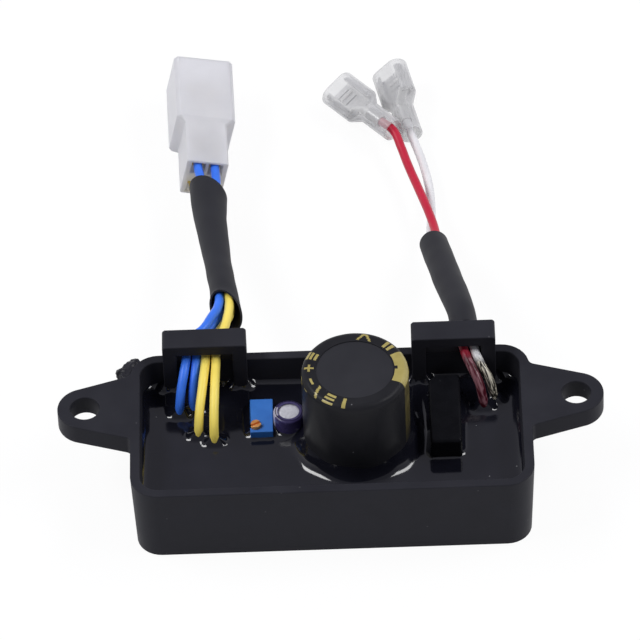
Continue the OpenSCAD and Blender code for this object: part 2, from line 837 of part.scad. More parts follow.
// Purple sleeve of the small capacitor, with its collar
module small_capacitor_sleeve() {
    color([0.3, 0.2, 0.52])
        translate([small_x, small_y, deck])
            difference() {
                cylinder(d = small_d, h = small_h);
                translate([0, 0, -over])
                    cylinder(d = small_d - 2 * small_skin, h = small_h - small_skin + over);
                cylinder(d = small_d - 2 * small_collar, h = small_h + over);
            }
}

// Leads of the small capacitor
module small_capacitor_leads() {
    color([0.8, 0.8, 0.78])
        for (side = [-1, 1])
            translate([small_x, small_y + side * small_pitch / 2, board_z - tail])
                cylinder(d = small_lead_d, h = board_t + tail);
}

// Moulded body of the power transistor, lying on the board
module transistor_body() {
    color([0.09, 0.09, 0.1])
        translate([tr_x, tr_y - tr_w / 2, deck])
            cube([tr_l, tr_w, tr_t]);
}

// Mounting tab and bent leads of the power transistor
module transistor_frame() {
    lead_z = deck + tr_t / 2;
    color([0.78, 0.78, 0.76]) {
        difference() {
            translate([tr_x - tab_l, tr_y - tr_w / 2, deck])
                cube([tab_l, tr_w, tab_t]);
            translate([tr_x - tab_l / 2, tr_y, deck - over])
                cylinder(d = tab_hole_d, h = tab_t + 2 * over);
        }
        for (i = [-1 : 1])
            translate([tr_x + tr_l, tr_y + i * tr_lead_pitch, lead_z])
                bent_lead(tr_lead_d, tr_lead_l, lead_z - board_z + tail);
    }
}

// Lead that runs along X and then turns down
module bent_lead(d, run, drop) {
    rotate([0, 90, 0])
        cylinder(d = d, h = run);
    translate([run, 0, 0])
        sphere(d = d);
    translate([run, 0, -drop])
        cylinder(d = d, h = drop);
}

// Two small-signal transistors, standing on their leads
module signal_transistors() {
    color([0.1, 0.1, 0.11])
        for (i = [0, 1])
            translate([to92_x, to92_y + i * to92_step, 0]) {
                translate([0, 0, deck + to92_lift])
                    difference() {
                        cylinder(d = to92_d, h = to92_h);
                        translate([-to92_d, to92_flat, -over])
                            cube([2 * to92_d, to92_d, to92_h + 2 * over]);
                    }
                for (j = [-1 : 1])
                    translate([j * to92_pitch, 0, board_z - tail])
                        cylinder(d = to92_lead_d, h = deck - board_z + tail + to92_lift + over);
            }
}

// Part with a round body lying on the board and a lead bent down at each end
module axial_part(body_d, body_l) {
    run = (axial_pitch - body_l) / 2;
    axis_z = deck + body_d / 2;
    translate([-body_l / 2, 0, axis_z])
        rotate([0, 90, 0])
            cylinder(d = body_d, h = body_l);
    for (side = [0, 1])
        mirror([side, 0, 0])
            translate([body_l / 2 - over, 0, axis_z])
                bent_lead(axial_lead_d, run + over, axis_z - board_z + tail);
}

// Four resistors in a row
module resistors() {
    color([0.75, 0.65, 0.48])
        for (i = [0 : 3])
            translate([resistor_x, resistor_y + i * resistor_step, 0])
                axial_part(resistor_d, resistor_l);
}

// Three diodes in a row
module diodes() {
    color([0.12, 0.12, 0.13])
        for (i = [0 : 2])
            translate([diode_x, diode_y + i * diode_step, 0])
                axial_part(diode_d, diode_l);
}

// Boxed film capacitor
module film_capacitor() {
    color([0.7, 0.2, 0.15]) {
        translate([film_x - film_l / 2, film_y - film_t / 2, deck])
            cube([film_l, film_t, film_h]);
        for (side = [-1, 1])
            translate([film_x + side * film_pitch / 2, film_y, board_z - tail])
                cylinder(d = axial_lead_d, h = board_t + tail + over);
    }
}

// One insulated wire
module wire(route) {
    swept(route, wire_d / 2, wire_sides);
}

module wire_blue_left() { color([0.18, 0.43, 0.82]) wire(blue_left_route); }
module wire_blue_right() { color([0.18, 0.43, 0.82]) wire(blue_right_route); }
module wire_yellow_left() { color([0.9, 0.81, 0.3]) wire(yellow_left_route); }
module wire_yellow_right() { color([0.9, 0.81, 0.3]) wire(yellow_right_route); }
module wire_red() { color([0.82, 0.12, 0.2]) wire(red_route); }
module wire_white() { color([0.92, 0.92, 0.93]) wire(white_route); }

// Black sleeve over the four wires of the left lead
module sleeve_left() {
    color([0.13, 0.13, 0.14])
        swept_hollow(tube_left_route, tube_left_r, tube_t, tube_sides, tube_left_cut);
}

// Black sleeve over the two wires of the right lead
module sleeve_right() {
    color([0.13, 0.13, 0.14])
        swept_hollow(tube_right_route, tube_right_r, tube_t, tube_sides, tube_right_cut);
}

// Places its children in the connector's own axes: Y along it from the wire end
module at_plug() {
    translate([plug_at[0], plug_at[1], plug_z])
        rotate([0, plug_roll, plug_yaw])
            children();
}

// Box along Y with its long edges cut off
module plug_bar(w, h, y0, y1, edge) {
    translate([0, y1, 0])
        rotate([90, 0, 0])
            linear_extrude(y1 - y0)
                polygon([
                    for (q = [[1, 1], [-1, 1], [-1, -1], [1, -1]])
                        each [
                            [q[0] * (w / 2 - (q[0] * q[1] > 0 ? 0 : edge)), q[1] * (h / 2 - (q[0] * q[1] > 0 ? edge : 0))],
                            [q[0] * (w / 2 - (q[0] * q[1] > 0 ? edge : 0)), q[1] * (h / 2 - (q[0] * q[1] > 0 ? 0 : edge))]
                        ]
                ]);
}

// Nylon housing: a shell open at the far end and a neck with four wire cells
module connector_housing() {
    color([0.93, 0.93, 0.95])
        at_plug()
            difference() {
                union() {
                    plug_bar(shell_w, shell_h, neck_l, plug_l, plug_edge);
                    plug_bar(neck_w, neck_h, 0, neck_l + over, plug_edge / 2);
                    hull() {
                        plug_bar(shell_w, shell_h, neck_l, neck_l + over, plug_edge);
                        plug_bar(neck_w, neck_h, neck_l - plug_chamfer, neck_l, plug_edge / 2);
                    }
                    translate([latch_x - latch_w / 2, neck_l + 2, -shell_h / 2 - latch_drop()])
                        cube([latch_w, latch_l, latch_drop() + over]);
                }
                translate([0, 0, 0])
                    plug_bar(
                        shell_w - 2 * shell_t, shell_h - 2 * shell_t,
                        plug_l - cavity_depth, plug_l + over, plug_edge / 2
                    );
                for (sx = [-1, 1], sz = [-1, 1])
                    translate([sx * cell_px, 0, sz * cell_pz]) {
                        translate([-cell_w / 2, -over, -cell_w / 2])
                            cube([cell_w, cell_depth + over, cell_w]);
                        blade(blade_fit);
                    }
            }
}

// Drop of the latch under the shell that brings it down to the table
function latch_drop() = (shell_w / 2 - latch_x - latch_w / 2) * tan(plug_roll);

// Blade of one contact, grown by a margin
module blade(margin) {
    translate([-blade_w / 2 - margin, crimp_y + crimp_l, -blade_t / 2 - margin])
        cube([
            blade_w + 2 * margin,
            plug_l - cavity_depth + blade_out - crimp_y - crimp_l,
            blade_t + 2 * margin
        ]);
}

// Four contacts, each crimped round a wire's end and standing in the cavity as a blade
module connector_contacts() {
    bore = wire_d + 2 * crimp_fit;
    color([0.85, 0.72, 0.4])
        at_plug()
            for (sx = [-1, 1], sz = [-1, 1])
                translate([sx * cell_px, 0, sz * cell_pz]) {
                    blade(0);
                    difference() {
                        translate([0, crimp_y, 0])
                            rotate([-90, 0, 0])
                                cylinder(d = bore + 2 * crimp_t, h = crimp_l + over);
                        translate([0, crimp_y - over, 0])
                            rotate([-90, 0, 0])
                                cylinder(d = bore, h = crimp_l);
                    }
                }
}

// Places its children in a terminal's own axes: Y from the wire end to the flat end
module at_spade(place, turn, tip, roll) {
    translate(place)
        rotate([-tip, 0, turn])
            rotate([0, roll, 0])
                children();
}

// Receptacle with its edges rolled over, then a neck and the crimp round the wire
module terminal() {
    bore = wire_d + 2 * crimp_fit;
    roll_r = spade_h / 2;
    start = crimp_in + crimp_l + neck_run;
    base_z = -spade_h / 2;
    translate([0, start + spade_l, 0])
        rotate([90, 0, 0])
            linear_extrude(spade_l) {
                translate([-spade_w / 2 + roll_r, base_z])
                    square([spade_w - 2 * roll_r, sheet_t]);
                for (side = [0, 1])
                    mirror([side, 0])
                        translate([spade_w / 2 - roll_r, 0])
                            difference() {
                                circle(r = roll_r);
                                circle(r = roll_r - sheet_t);
                                translate([-2 * roll_r, -roll_r + sheet_t])
                                    square([2 * roll_r, roll_r * 2]);
                            }
            }
    translate([-bore / 2, crimp_in + crimp_l - over, base_z])
        cube([bore, neck_run + 2 * over, sheet_t]);
    difference() {
        translate([0, crimp_in, 0])
            rotate([-90, 0, 0])
                cylinder(d = bore + 2 * crimp_t, h = crimp_l);
        translate([0, crimp_in - over, 0])
            rotate([-90, 0, 0])
                cylinder(d = bore, h = crimp_l + 2 * over);
    }
}

// Outer or inner form of a clear cover: round, then a shoulder, then flat
module cover_form(inset, grow) {
    r = cover_d / 2 - inset;
    reach = cover_w / 2 - cover_d / 2;
    flat_y = cover_round + cover_shoulder;
    translate([0, -grow, 0])
        rotate([-90, 0, 0])
            cylinder(r = r, h = cover_round + over + grow);
    hull()
        for (side = [-1, 1]) {
            translate([0, cover_round, 0])
                rotate([-90, 0, 0])
                    cylinder(r = r, h = over, $fn = blend_fn);
            translate([side * reach, flat_y, 0])
                rotate([-90, 0, 0])
                    cylinder(r = r, h = over, $fn = blend_fn);
        }
    for (side = [-1, 1])
        translate([side * reach, flat_y, 0])
            rotate([-90, 0, 0])
                cylinder(r = r, h = cover_flat + grow);
    translate([-reach, flat_y, -r])
        cube([2 * reach, cover_flat + grow, 2 * r]);
}

// Clear soft cover over a terminal
module cover() {
    difference() {
        cover_form(0, 0);
        cover_form(cover_t, over);
    }
}

module terminal_red() {
    color([0.8, 0.78, 0.7])
        at_spade(spade_red_at, spade_red_turn, spade_red_tip, spade_red_roll)
            terminal();
}

module terminal_white() {
    color([0.8, 0.78, 0.7])
        at_spade(spade_white_at, spade_white_turn, spade_white_tip, spade_white_roll)
            terminal();
}

module cover_red() {
    color([0.75, 0.75, 0.78, 0.5])
        at_spade(spade_red_at, spade_red_turn, spade_red_tip, spade_red_roll)
            cover();
}

module cover_white() {
    color([0.75, 0.75, 0.78, 0.5])
        at_spade(spade_white_at, spade_white_turn, spade_white_tip, spade_white_roll)
            cover();
}

tray();
potting_resin();
resin_spill();
circuit_board();
capacitor_can();
capacitor_sleeve();
capacitor_disc();
capacitor_seal();
capacitor_pins();
rectifier_body();
rectifier_leads();
trimmer_body();
trimmer_screw();
trimmer_pins();
small_capacitor_can();
small_capacitor_sleeve();
small_capacitor_leads();
transistor_body();
transistor_frame();
signal_transistors();
resistors();
diodes();
film_capacitor();
wire_blue_left();
wire_blue_right();
wire_yellow_left();
wire_yellow_right();
wire_red();
wire_white();
sleeve_left();
sleeve_right();
connector_housing();
connector_contacts();
terminal_red();
terminal_white();
cover_red();
cover_white();
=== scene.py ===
import math

import bmesh
import bpy
from mathutils import Euler, Matrix, Vector, noise


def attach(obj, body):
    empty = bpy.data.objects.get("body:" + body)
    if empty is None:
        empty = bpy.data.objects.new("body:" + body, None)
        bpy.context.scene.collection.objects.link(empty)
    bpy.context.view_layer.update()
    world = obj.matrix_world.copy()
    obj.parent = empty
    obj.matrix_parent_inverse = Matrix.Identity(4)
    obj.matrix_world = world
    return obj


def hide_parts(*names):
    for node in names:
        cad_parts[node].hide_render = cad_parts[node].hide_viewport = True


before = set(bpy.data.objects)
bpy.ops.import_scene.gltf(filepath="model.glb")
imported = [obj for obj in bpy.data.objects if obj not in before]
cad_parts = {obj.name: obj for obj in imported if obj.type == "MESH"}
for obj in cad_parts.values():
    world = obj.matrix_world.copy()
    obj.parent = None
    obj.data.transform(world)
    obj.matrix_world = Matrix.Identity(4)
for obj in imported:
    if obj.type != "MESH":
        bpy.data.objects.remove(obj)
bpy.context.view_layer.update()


# ---------------------------------------------------------------- studio
# The part lies on a white card that runs far out on every side, under a pale ceiling
# and between two soft boxes. A long lens looks down on it.
scene = bpy.context.scene
scene.view_settings.view_transform = "Standard"

aim = Vector((-0.00180, 0.03222, 0.015))
tilt, swing, roll = (math.radians(a) for a in (46.0276, 0.7191, -2.4393))
eye_distance = 1.41085
backward = Vector(
    (math.sin(swing) * math.cos(tilt), -math.cos(swing) * math.cos(tilt), math.sin(tilt))
)
level = Vector((math.cos(swing), math.sin(swing), 0))
upright = backward.cross(level)
rightward = math.cos(roll) * level + math.sin(roll) * upright
upward = math.cos(roll) * upright - math.sin(roll) * level
eye = bpy.data.objects.new("eye", bpy.data.cameras.new("eye"))
eye.data.sensor_width = 36
eye.data.lens = 370.91
eye.data.clip_start, eye.data.clip_end = 0.1, 20
eye.matrix_world = Matrix.Translation(aim + backward * eye_distance) @ Matrix(
    (rightward, upward, backward)
).transposed().to_4x4()
scene.collection.objects.link(eye)
scene.camera = eye


def soft_box(name, place, size, power):
    """Oblong lamp that faces the part from a place."""
    lamp = bpy.data.lights.new(name, "AREA")
    lamp.shape, lamp.size, lamp.size_y = "RECTANGLE", size[0], size[1]
    lamp.energy = power
    holder = bpy.data.objects.new(name, lamp)
    holder.location = place
    holder.rotation_euler = (Vector(place) - aim).to_track_quat("Z", "Y").to_euler()
    scene.collection.objects.link(holder)


soft_box("soft_box_left", (-0.72, 0.05, 0.86), (0.80, 0.28), 6.9)
soft_box("soft_box_right", (0.72, 0.03, 0.86), (0.80, 0.28), 6.0)

sky = bpy.data.worlds.new("studio")
sky.use_nodes = True
scene.world = sky
tree = sky.node_tree
where = tree.nodes.new("ShaderNodeTexCoord")
height = tree.nodes.new("ShaderNodeSeparateXYZ")
shade = tree.nodes.new("ShaderNodeValToRGB")
stops = shade.color_ramp.elements
stops[0].color, stops[1].color = (0.80, 0.80, 0.81, 1), (0.38, 0.38, 0.43, 1)
stops.new(0.40).color = (0.42, 0.42, 0.47, 1)
stops.new(0.74).color = (0.31, 0.31, 0.36, 1)
toward = tree.nodes.new("ShaderNodeMapRange")
toward.inputs["From Min"].default_value, toward.inputs["From Max"].default_value = -0.55, 0.25
toward.inputs["To Min"].default_value, toward.inputs["To Max"].default_value = 0.55, 1
dim = tree.nodes.new("ShaderNodeVectorMath")
dim.operation = "SCALE"
tree.links.new(where.outputs["Generated"], height.inputs[0])
tree.links.new(height.outputs["Z"], shade.inputs["Fac"])
tree.links.new(height.outputs["Y"], toward.inputs["Value"])
tree.links.new(shade.outputs["Color"], dim.inputs[0])
tree.links.new(toward.outputs[0], dim.inputs["Scale"])
tree.links.new(dim.outputs[0], tree.nodes["Background"].inputs["Color"])

bm = bmesh.new()
bmesh.ops.create_grid(bm, x_segments=1, y_segments=1, size=4)
bmesh.ops.translate(bm, vec=(0, 0, -0.00003), verts=bm.verts)
card = bpy.data.objects.new("card", bpy.data.meshes.new("card"))
bm.to_mesh(card.data)
bm.free()
scene.collection.objects.link(card)
paper = bpy.data.materials.new("white_card")
paper.use_nodes = True
tree = paper.node_tree
lit = tree.nodes["Principled BSDF"]
lit.inputs["Base Color"].default_value = (0.68, 0.68, 0.69, 1)
lit.inputs["Roughness"].default_value = 0.85
glow = tree.nodes.new("ShaderNodeEmission")
glow.inputs["Color"].default_value = (1, 1, 1, 1)
glow.inputs["Strength"].default_value = 1.04
rays = tree.nodes.new("ShaderNodeLightPath")
seen = tree.nodes.new("ShaderNodeMath")
seen.operation = "MAXIMUM"
also = tree.nodes.new("ShaderNodeMath")
also.operation = "MAXIMUM"
share = tree.nodes.new("ShaderNodeMath")
share.operation = "MULTIPLY"
share.inputs[1].default_value = 0.90
mix = tree.nodes.new("ShaderNodeMixShader")
tree.links.new(rays.outputs["Is Camera Ray"], seen.inputs[0])
tree.links.new(rays.outputs["Is Glossy Ray"], seen.inputs[1])
tree.links.new(seen.outputs[0], also.inputs[0])
tree.links.new(rays.outputs["Is Transmission Ray"], also.inputs[1])
tree.links.new(also.outputs[0], share.inputs[0])
tree.links.new(share.outputs[0], mix.inputs["Fac"])
tree.links.new(lit.outputs[0], mix.inputs[1])
tree.links.new(glow.outputs[0], mix.inputs[2])
tree.links.new(mix.outputs[0], tree.nodes["Material Output"].inputs["Surface"])
card.data.materials.append(paper)


# ---------------------------------------------------------------- tray
# Injection-moulded tray of black nylon with two mounting ears and two wire arches,
# in one piece. Its edges are softly broken and its skin has a fine satin grain.
finish_detail = bpy.data.node_groups.new("finish_detail", "ShaderNodeTree")
for label in ("Grain Scale", "Mottle Scale", "Speck Scale"):
    finish_detail.interface.new_socket(label, in_out="INPUT", socket_type="NodeSocketFloat")
for label in ("Grain", "Mottle", "Specks"):
    finish_detail.interface.new_socket(label, in_out="OUTPUT", socket_type="NodeSocketFloat")
nodes, links = finish_detail.nodes, finish_detail.links
asked, given = nodes.new("NodeGroupInput"), nodes.new("NodeGroupOutput")
where = nodes.new("ShaderNodeTexCoord")
grain = nodes.new("ShaderNodeTexNoise")
grain.inputs["Detail"].default_value = 2
mottle = nodes.new("ShaderNodeTexNoise")
mottle.inputs["Detail"].default_value = 4
spread = nodes.new("ShaderNodeMapRange")
spread.inputs["From Min"].default_value, spread.inputs["From Max"].default_value = 0.3, 0.7
dots = nodes.new("ShaderNodeTexVoronoi")
small = nodes.new("ShaderNodeMapRange")
small.inputs["From Min"].default_value, small.inputs["From Max"].default_value = 0.07, 0.03
few = nodes.new("ShaderNodeMath")
few.operation = "GREATER_THAN"
few.inputs[1].default_value = 0.72
both = nodes.new("ShaderNodeMath")
both.operation = "MULTIPLY"
first = nodes.new("ShaderNodeSeparateColor")
for texture, label in ((grain, "Grain Scale"), (mottle, "Mottle Scale"), (dots, "Speck Scale")):
    links.new(where.outputs["Object"], texture.inputs["Vector"])
    links.new(asked.outputs[label], texture.inputs["Scale"])
links.new(grain.outputs[0], given.inputs["Grain"])
links.new(mottle.outputs[0], spread.inputs["Value"])
links.new(spread.outputs[0], given.inputs["Mottle"])
links.new(dots.outputs["Distance"], small.inputs["Value"])
links.new(dots.outputs["Color"], first.inputs[0])
links.new(first.outputs[0], few.inputs[0])
links.new(small.outputs[0], both.inputs[0])
links.new(few.outputs[0], both.inputs[1])
links.new(both.outputs[0], given.inputs["Specks"])


def coated(name, dark, light, rough, grain=(0.3, 0.01), mottle=7, specks=(2.2, 0), **sockets):
    """Finish whose colour and gloss drift between two values, with a raised grain and dust."""
    material = bpy.data.materials.new(name)
    material.use_nodes = True
    tree = material.node_tree
    shader = tree.nodes["Principled BSDF"]
    detail = tree.nodes.new("ShaderNodeGroup")
    detail.node_tree = finish_detail
    detail.inputs["Grain Scale"].default_value = 1000 / grain[0]
    detail.inputs["Mottle Scale"].default_value = 1000 / mottle
    detail.inputs["Speck Scale"].default_value = 1000 / specks[0]
    drift = tree.nodes.new("ShaderNodeMix")
    drift.data_type, drift.label = "RGBA", "drift"
    drift.inputs[6].default_value, drift.inputs[7].default_value = (*dark, 1), (*light, 1)
    amount = tree.nodes.new("ShaderNodeMath")
    amount.operation = "MULTIPLY"
    amount.inputs[1].default_value = specks[1]
    dusty = tree.nodes.new("ShaderNodeMix")
    dusty.data_type, dusty.label = "RGBA", "dusty"
    dusty.inputs[7].default_value = (0.5, 0.5, 0.52, 1)
    gloss = tree.nodes.new("ShaderNodeMapRange")
    gloss.inputs["To Min"].default_value, gloss.inputs["To Max"].default_value = rough
    bump = tree.nodes.new("ShaderNodeBump")
    bump.inputs["Distance"].default_value = grain[1] / 1000
    tree.links.new(detail.outputs["Mottle"], drift.inputs[0])
    tree.links.new(detail.outputs["Specks"], amount.inputs[0])
    tree.links.new(amount.outputs[0], dusty.inputs[0])
    tree.links.new(drift.outputs[2], dusty.inputs[6])
    tree.links.new(dusty.outputs[2], shader.inputs["Base Color"])
    tree.links.new(detail.outputs["Mottle"], gloss.inputs["Value"])
    tree.links.new(gloss.outputs[0], shader.inputs["Roughness"])
    tree.links.new(detail.outputs["Grain"], bump.inputs["Height"])
    tree.links.new(bump.outputs[0], shader.inputs["Normal"])
    for socket, value in sockets.items():
        shader.inputs[socket.replace("_", " ")].default_value = value
    return material


def solid_of(node):
    """Working copy of a CAD solid in millimetres, its triangles merged into whole faces."""
    bm = bmesh.new()
    bm.from_mesh(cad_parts[node].data)
    bmesh.ops.scale(bm, vec=(1000, 1000, 1000), verts=bm.verts)
    bmesh.ops.remove_doubles(bm, verts=bm.verts, dist=0.002)
    bmesh.ops.dissolve_limit(
        bm, angle_limit=math.radians(0.6), verts=bm.verts, edges=bm.edges
    )
    return bm


def break_edges(bm, size, sharper=30, steps=3):
    """Rounds the outer edges that are sharper than an angle."""
    edges = [
        e
        for e in bm.edges
        if len(e.link_faces) == 2
        and e.is_convex
        and e.calc_face_angle() > math.radians(sharper)
    ]
    bmesh.ops.bevel(
        bm, geom=edges, offset=size, affect="EDGES", segments=steps, profile=0.5, material=-1
    )


def finished(name, bm, finishes, node, body="unit", smooth=35, flat=True):
    """Makes a piece of a working copy, gives it its finishes and fixes it to its body."""
    bmesh.ops.scale(bm, vec=(0.001, 0.001, 0.001), verts=bm.verts)
    mesh = bpy.data.meshes.new(name)
    bm.to_mesh(mesh)
    bm.free()
    for finish in finishes:
        mesh.materials.append(finish)
    mesh.shade_smooth()
    mesh.set_sharp_from_angle(angle=math.radians(smooth))
    piece = bpy.data.objects.new(name, mesh)
    scene.collection.objects.link(piece)
    if flat:
        piece.modifiers.new("flat_faces", "WEIGHTED_NORMAL").keep_sharp = True
    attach(piece, body)
    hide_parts(node)
    return piece


black_nylon = coated(
    "black_nylon", (0.0210, 0.0212, 0.0268), (0.0268, 0.0271, 0.0338), (0.42, 0.54),
    grain=(0.28, 0.012), mottle=9, specks=(3.4, 0.10), Specular_IOR_Level=0.08,
)
bm = solid_of("tray")
break_edges(bm, 0.26)
finished("tray_moulding", bm, [black_nylon], "tray")


# ---------------------------------------------------------------- circuit board
# Bare board with its hidden parts, all drowned in the resin: they stay as the
# solids they are, and each takes the finish of the real part.
board_green = coated("board_green", (0.012, 0.09, 0.035), (0.02, 0.13, 0.05), (0.3, 0.45))
tinned = coated(
    "tinned_copper", (0.62, 0.62, 0.6), (0.74, 0.74, 0.72), (0.22, 0.38),
    grain=(0.2, 0.004), Metallic=1,
)
can_metal = coated(
    "can_aluminium", (0.72, 0.73, 0.75), (0.82, 0.83, 0.85), (0.25, 0.36),
    grain=(0.15, 0.004), Metallic=1,
)
epoxy_black = coated("epoxy_black", (0.012, 0.012, 0.013), (0.02, 0.02, 0.022), (0.3, 0.45))
seal_rubber = coated("seal_rubber", (0.014, 0.014, 0.015), (0.03, 0.03, 0.03), (0.6, 0.8))
tan_lacquer = coated("tan_lacquer", (0.42, 0.28, 0.13), (0.52, 0.36, 0.18), (0.25, 0.4))
film_red = coated("film_box_red", (0.36, 0.03, 0.02), (0.45, 0.045, 0.03), (0.28, 0.4))
for finish, names in (
    (board_green, ["circuit_board"]),
    (tinned, ["capacitor_pins", "rectifier_leads", "trimmer_pins", "small_capacitor_leads",
              "transistor_frame"]),
    (can_metal, ["capacitor_can"]),
    (seal_rubber, ["capacitor_seal"]),
    (epoxy_black, ["transistor_body", "signal_transistors", "diodes"]),
    (tan_lacquer, ["resistors"]),
    (film_red, ["film_capacitor"]),
):
    for name in names:
        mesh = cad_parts[name].data
        mesh.materials.clear()
        mesh.materials.append(finish)


# ---------------------------------------------------------------- main capacitor
# Aluminium can in a shrunk sleeve of black film. The film was printed flat in gold
# ink, with a polarity band, and then pulled in over the shoulder as a narrow collar.
can_axis = Vector((5.4, -0.8, 0))
sleeve_r, collar_r, shoulder_r, film = 11.25, 8.15, 1.4, 0.25
can_top, film_foot = 34.1, 4.2


def turned(profile, axis, steps):
    """Round piece: a closed profile of radius and height, spun about an upright axis."""
    bm = bmesh.new()
    ring = [bm.verts.new((r, 0, z)) for r, z in profile]
    edges = [bm.edges.new((a, b)) for a, b in zip(ring, ring[1:] + ring[:1])]
    bmesh.ops.spin(
        bm, geom=ring + edges, cent=(0, 0, 0), axis=(0, 0, 1), dvec=(0, 0, 0),
        angle=math.tau, steps=steps, use_merge=True,
    )
    bmesh.ops.remove_doubles(bm, verts=bm.verts, dist=0.0005)
    bmesh.ops.translate(bm, vec=axis, verts=bm.verts)
    bmesh.ops.recalc_face_normals(bm, faces=bm.faces)
    return bm


def at_ring(edge, axis, r, z, slack=0.02):
    """Whether an edge runs round an axis at a radius and a height."""
    return all(
        abs(math.hypot(v.co.x - axis.x, v.co.y - axis.y) - r) < slack and abs(v.co.z - z) < slack
        for v in edge.verts
    )


sleeve_film = coated(
    "sleeve_film", (0.0140, 0.0142, 0.0170), (0.0200, 0.0203, 0.0235), (0.34, 0.46),
    grain=(0.5, 0.004), mottle=8, specks=(2.6, 0.3), Specular_IOR_Level=0.09,
)
gold_ink = coated(
    "gold_ink", (0.33, 0.27, 0.075), (0.42, 0.35, 0.11), (0.28, 0.4),
    grain=(0.4, 0.004), mottle=2.5,
)
# The band down the can's side takes a darker copy of the gold ink, as painted shade.
shaded_ink = coated(
    "shaded_ink", (0.06, 0.05, 0.018), (0.14, 0.115, 0.04), (0.34, 0.46),
    grain=(0.4, 0.004), mottle=2.5,
)
# Down the can's side the band is painted darker towards the bottom, as painted shade, until it has
# the film's colour.
tree = shaded_ink.node_tree
where = tree.nodes.new("ShaderNodeTexCoord")
apart = tree.nodes.new("ShaderNodeSeparateXYZ")
shade_by_height = tree.nodes.new("ShaderNodeMapRange")
shade_by_height.inputs["From Min"].default_value, shade_by_height.inputs["From Max"].default_value = 0.016, 0.023
shade_to_film = tree.nodes.new("ShaderNodeMix")
shade_to_film.data_type = "RGBA"
shade_to_film.inputs[6].default_value = (0.020, 0.0185, 0.0165, 1)
ink = tree.nodes["Principled BSDF"].inputs["Base Color"]
tree.links.new(ink.links[0].from_socket, shade_to_film.inputs[7])
tree.links.new(where.outputs["Object"], apart.inputs[0])
tree.links.new(apart.outputs["Z"], shade_by_height.inputs["Value"])
tree.links.new(shade_by_height.outputs[0], shade_to_film.inputs[0])
tree.links.new(shade_to_film.outputs[2], ink)
collar_rings = [collar_r + 0.2 * i for i in range(9)]
side_heights = [can_top - shoulder_r - 0.9 * i for i in range(1, 28)]
bm = turned(
    [(r, can_top) for r in collar_rings]
    + [(sleeve_r, can_top)]
    + [(sleeve_r, z) for z in side_heights]
    + [(sleeve_r, film_foot), (sleeve_r - film, film_foot), (sleeve_r - film, can_top - film),
       (collar_r, can_top - film)],
    can_axis, 240,
)
for inset in (0, film):
    rim = [e for e in bm.edges if at_ring(e, can_axis, sleeve_r - inset, can_top - inset)]
    bmesh.ops.bevel(
        bm, geom=rim, offset=shoulder_r - inset, affect="EDGES", segments=9, profile=0.5,
        material=-1,
    )
# The print: bars on the film, each from one turn to another in degrees, between two
# distances from the collar's inner edge and with a slant. Down the side the band is painted in a
# darker ink, as painted shade.
band, shade_from = (-24, 27), 3.9
prints = [
    (148, 161, 0.4, 1.0, 0), (148, 161, 1.3, 1.9, 0), (148, 161, 2.2, 2.8, 0),
    (170, 181, 1.1, 1.7, 0), (173.4, 177.6, 0.4, 2.4, 0),
    (193, 204, 1.2, 1.8, 0), (214.5, 218.7, 0.3, 3.2, 3),
    (229, 243, 0.4, 1.0, 0), (229, 243, 1.4, 2.0, 0), (229, 243, 2.4, 3.0, 0),
    (254, 258.2, 0.3, 2.9, 0),
    (70, 74, 0.4, 2.2, 5), (79, 83, 0.4, 2.2, -5),
    (36, 40, 0.4, 2.5, 0), (44, 48, 0.4, 2.5, 0),
    (158, 176, 3.7, 4.3, 0), (186, 190, 3.3, 5.2, 4), (200, 206, 3.6, 4.2, 0),
]
bm.normal_update()
for face in bm.faces:
    middle = face.calc_center_median() - can_axis
    out = math.hypot(middle.x, middle.y)
    if (face.normal.x * middle.x + face.normal.y * middle.y) / out < -0.3 or face.normal.z < -0.3:
        continue
    turn = math.degrees(math.atan2(middle.y, middle.x))
    down = can_top - middle.z
    bend = min(1, max(0, (out - (sleeve_r - shoulder_r)) / shoulder_r))
    if down < 0.02:
        along = out - collar_r
    else:
        swept = math.asin(bend) if down <= shoulder_r else math.pi / 2
        along = sleeve_r - shoulder_r - collar_r + shoulder_r * swept + max(0, down - shoulder_r)
    inked = band[0] < turn < band[1] and along > 0.1
    bar = abs(turn - 1) < 3.2 and along < 0.75
    marks = any(
        a < turn % 360 - slant * (along - (lo + hi) / 2) < b and lo < along < hi
        for a, b, lo, hi, slant in prints
    )
    # Past a distance down the side the band takes the darker ink, as painted shade.
    in_shade = inked and along > shade_from
    face.material_index = 2 if in_shade else int((inked and not bar) or marks)
for v in bm.verts:
    flat = v.co - can_axis
    out = math.hypot(flat.x, flat.y)
    ripple = noise.noise(Vector((flat.x * 0.55, flat.y * 0.55, flat.z * 0.16 + 3)))
    if out > 1:
        v.co += Vector((flat.x, flat.y, 0)) / out * 0.035 * ripple
    if out < sleeve_r - 0.6:
        v.co.z += 0.05 * ripple
finished(
    "capacitor_film", bm, [sleeve_film, gold_ink, shaded_ink],
    "capacitor_sleeve", flat=False,
)

# The disc that closes the top lies just inside the collar, a little dished.
disc_black = coated(
    "disc_black", (0.0195, 0.0198, 0.0245), (0.0240, 0.0243, 0.0295), (0.44, 0.54),
    grain=(0.35, 0.006), mottle=6, specks=(3.4, 0.08), Specular_IOR_Level=0.2,
)
disc_r, dish, lip = 8.4, 0.42, 0.27
bm = turned(
    [(0, can_top - dish)]
    + [(r, can_top - dish + lip * (r / disc_r) ** 3) for r in (2, 4, 6, 7, 7.8, disc_r)]
    + [(disc_r, can_top - 0.55), (0, can_top - 0.7)],
    can_axis, 120,
)
finished("capacitor_disc_top", bm, [disc_black], "capacitor_disc", flat=False)


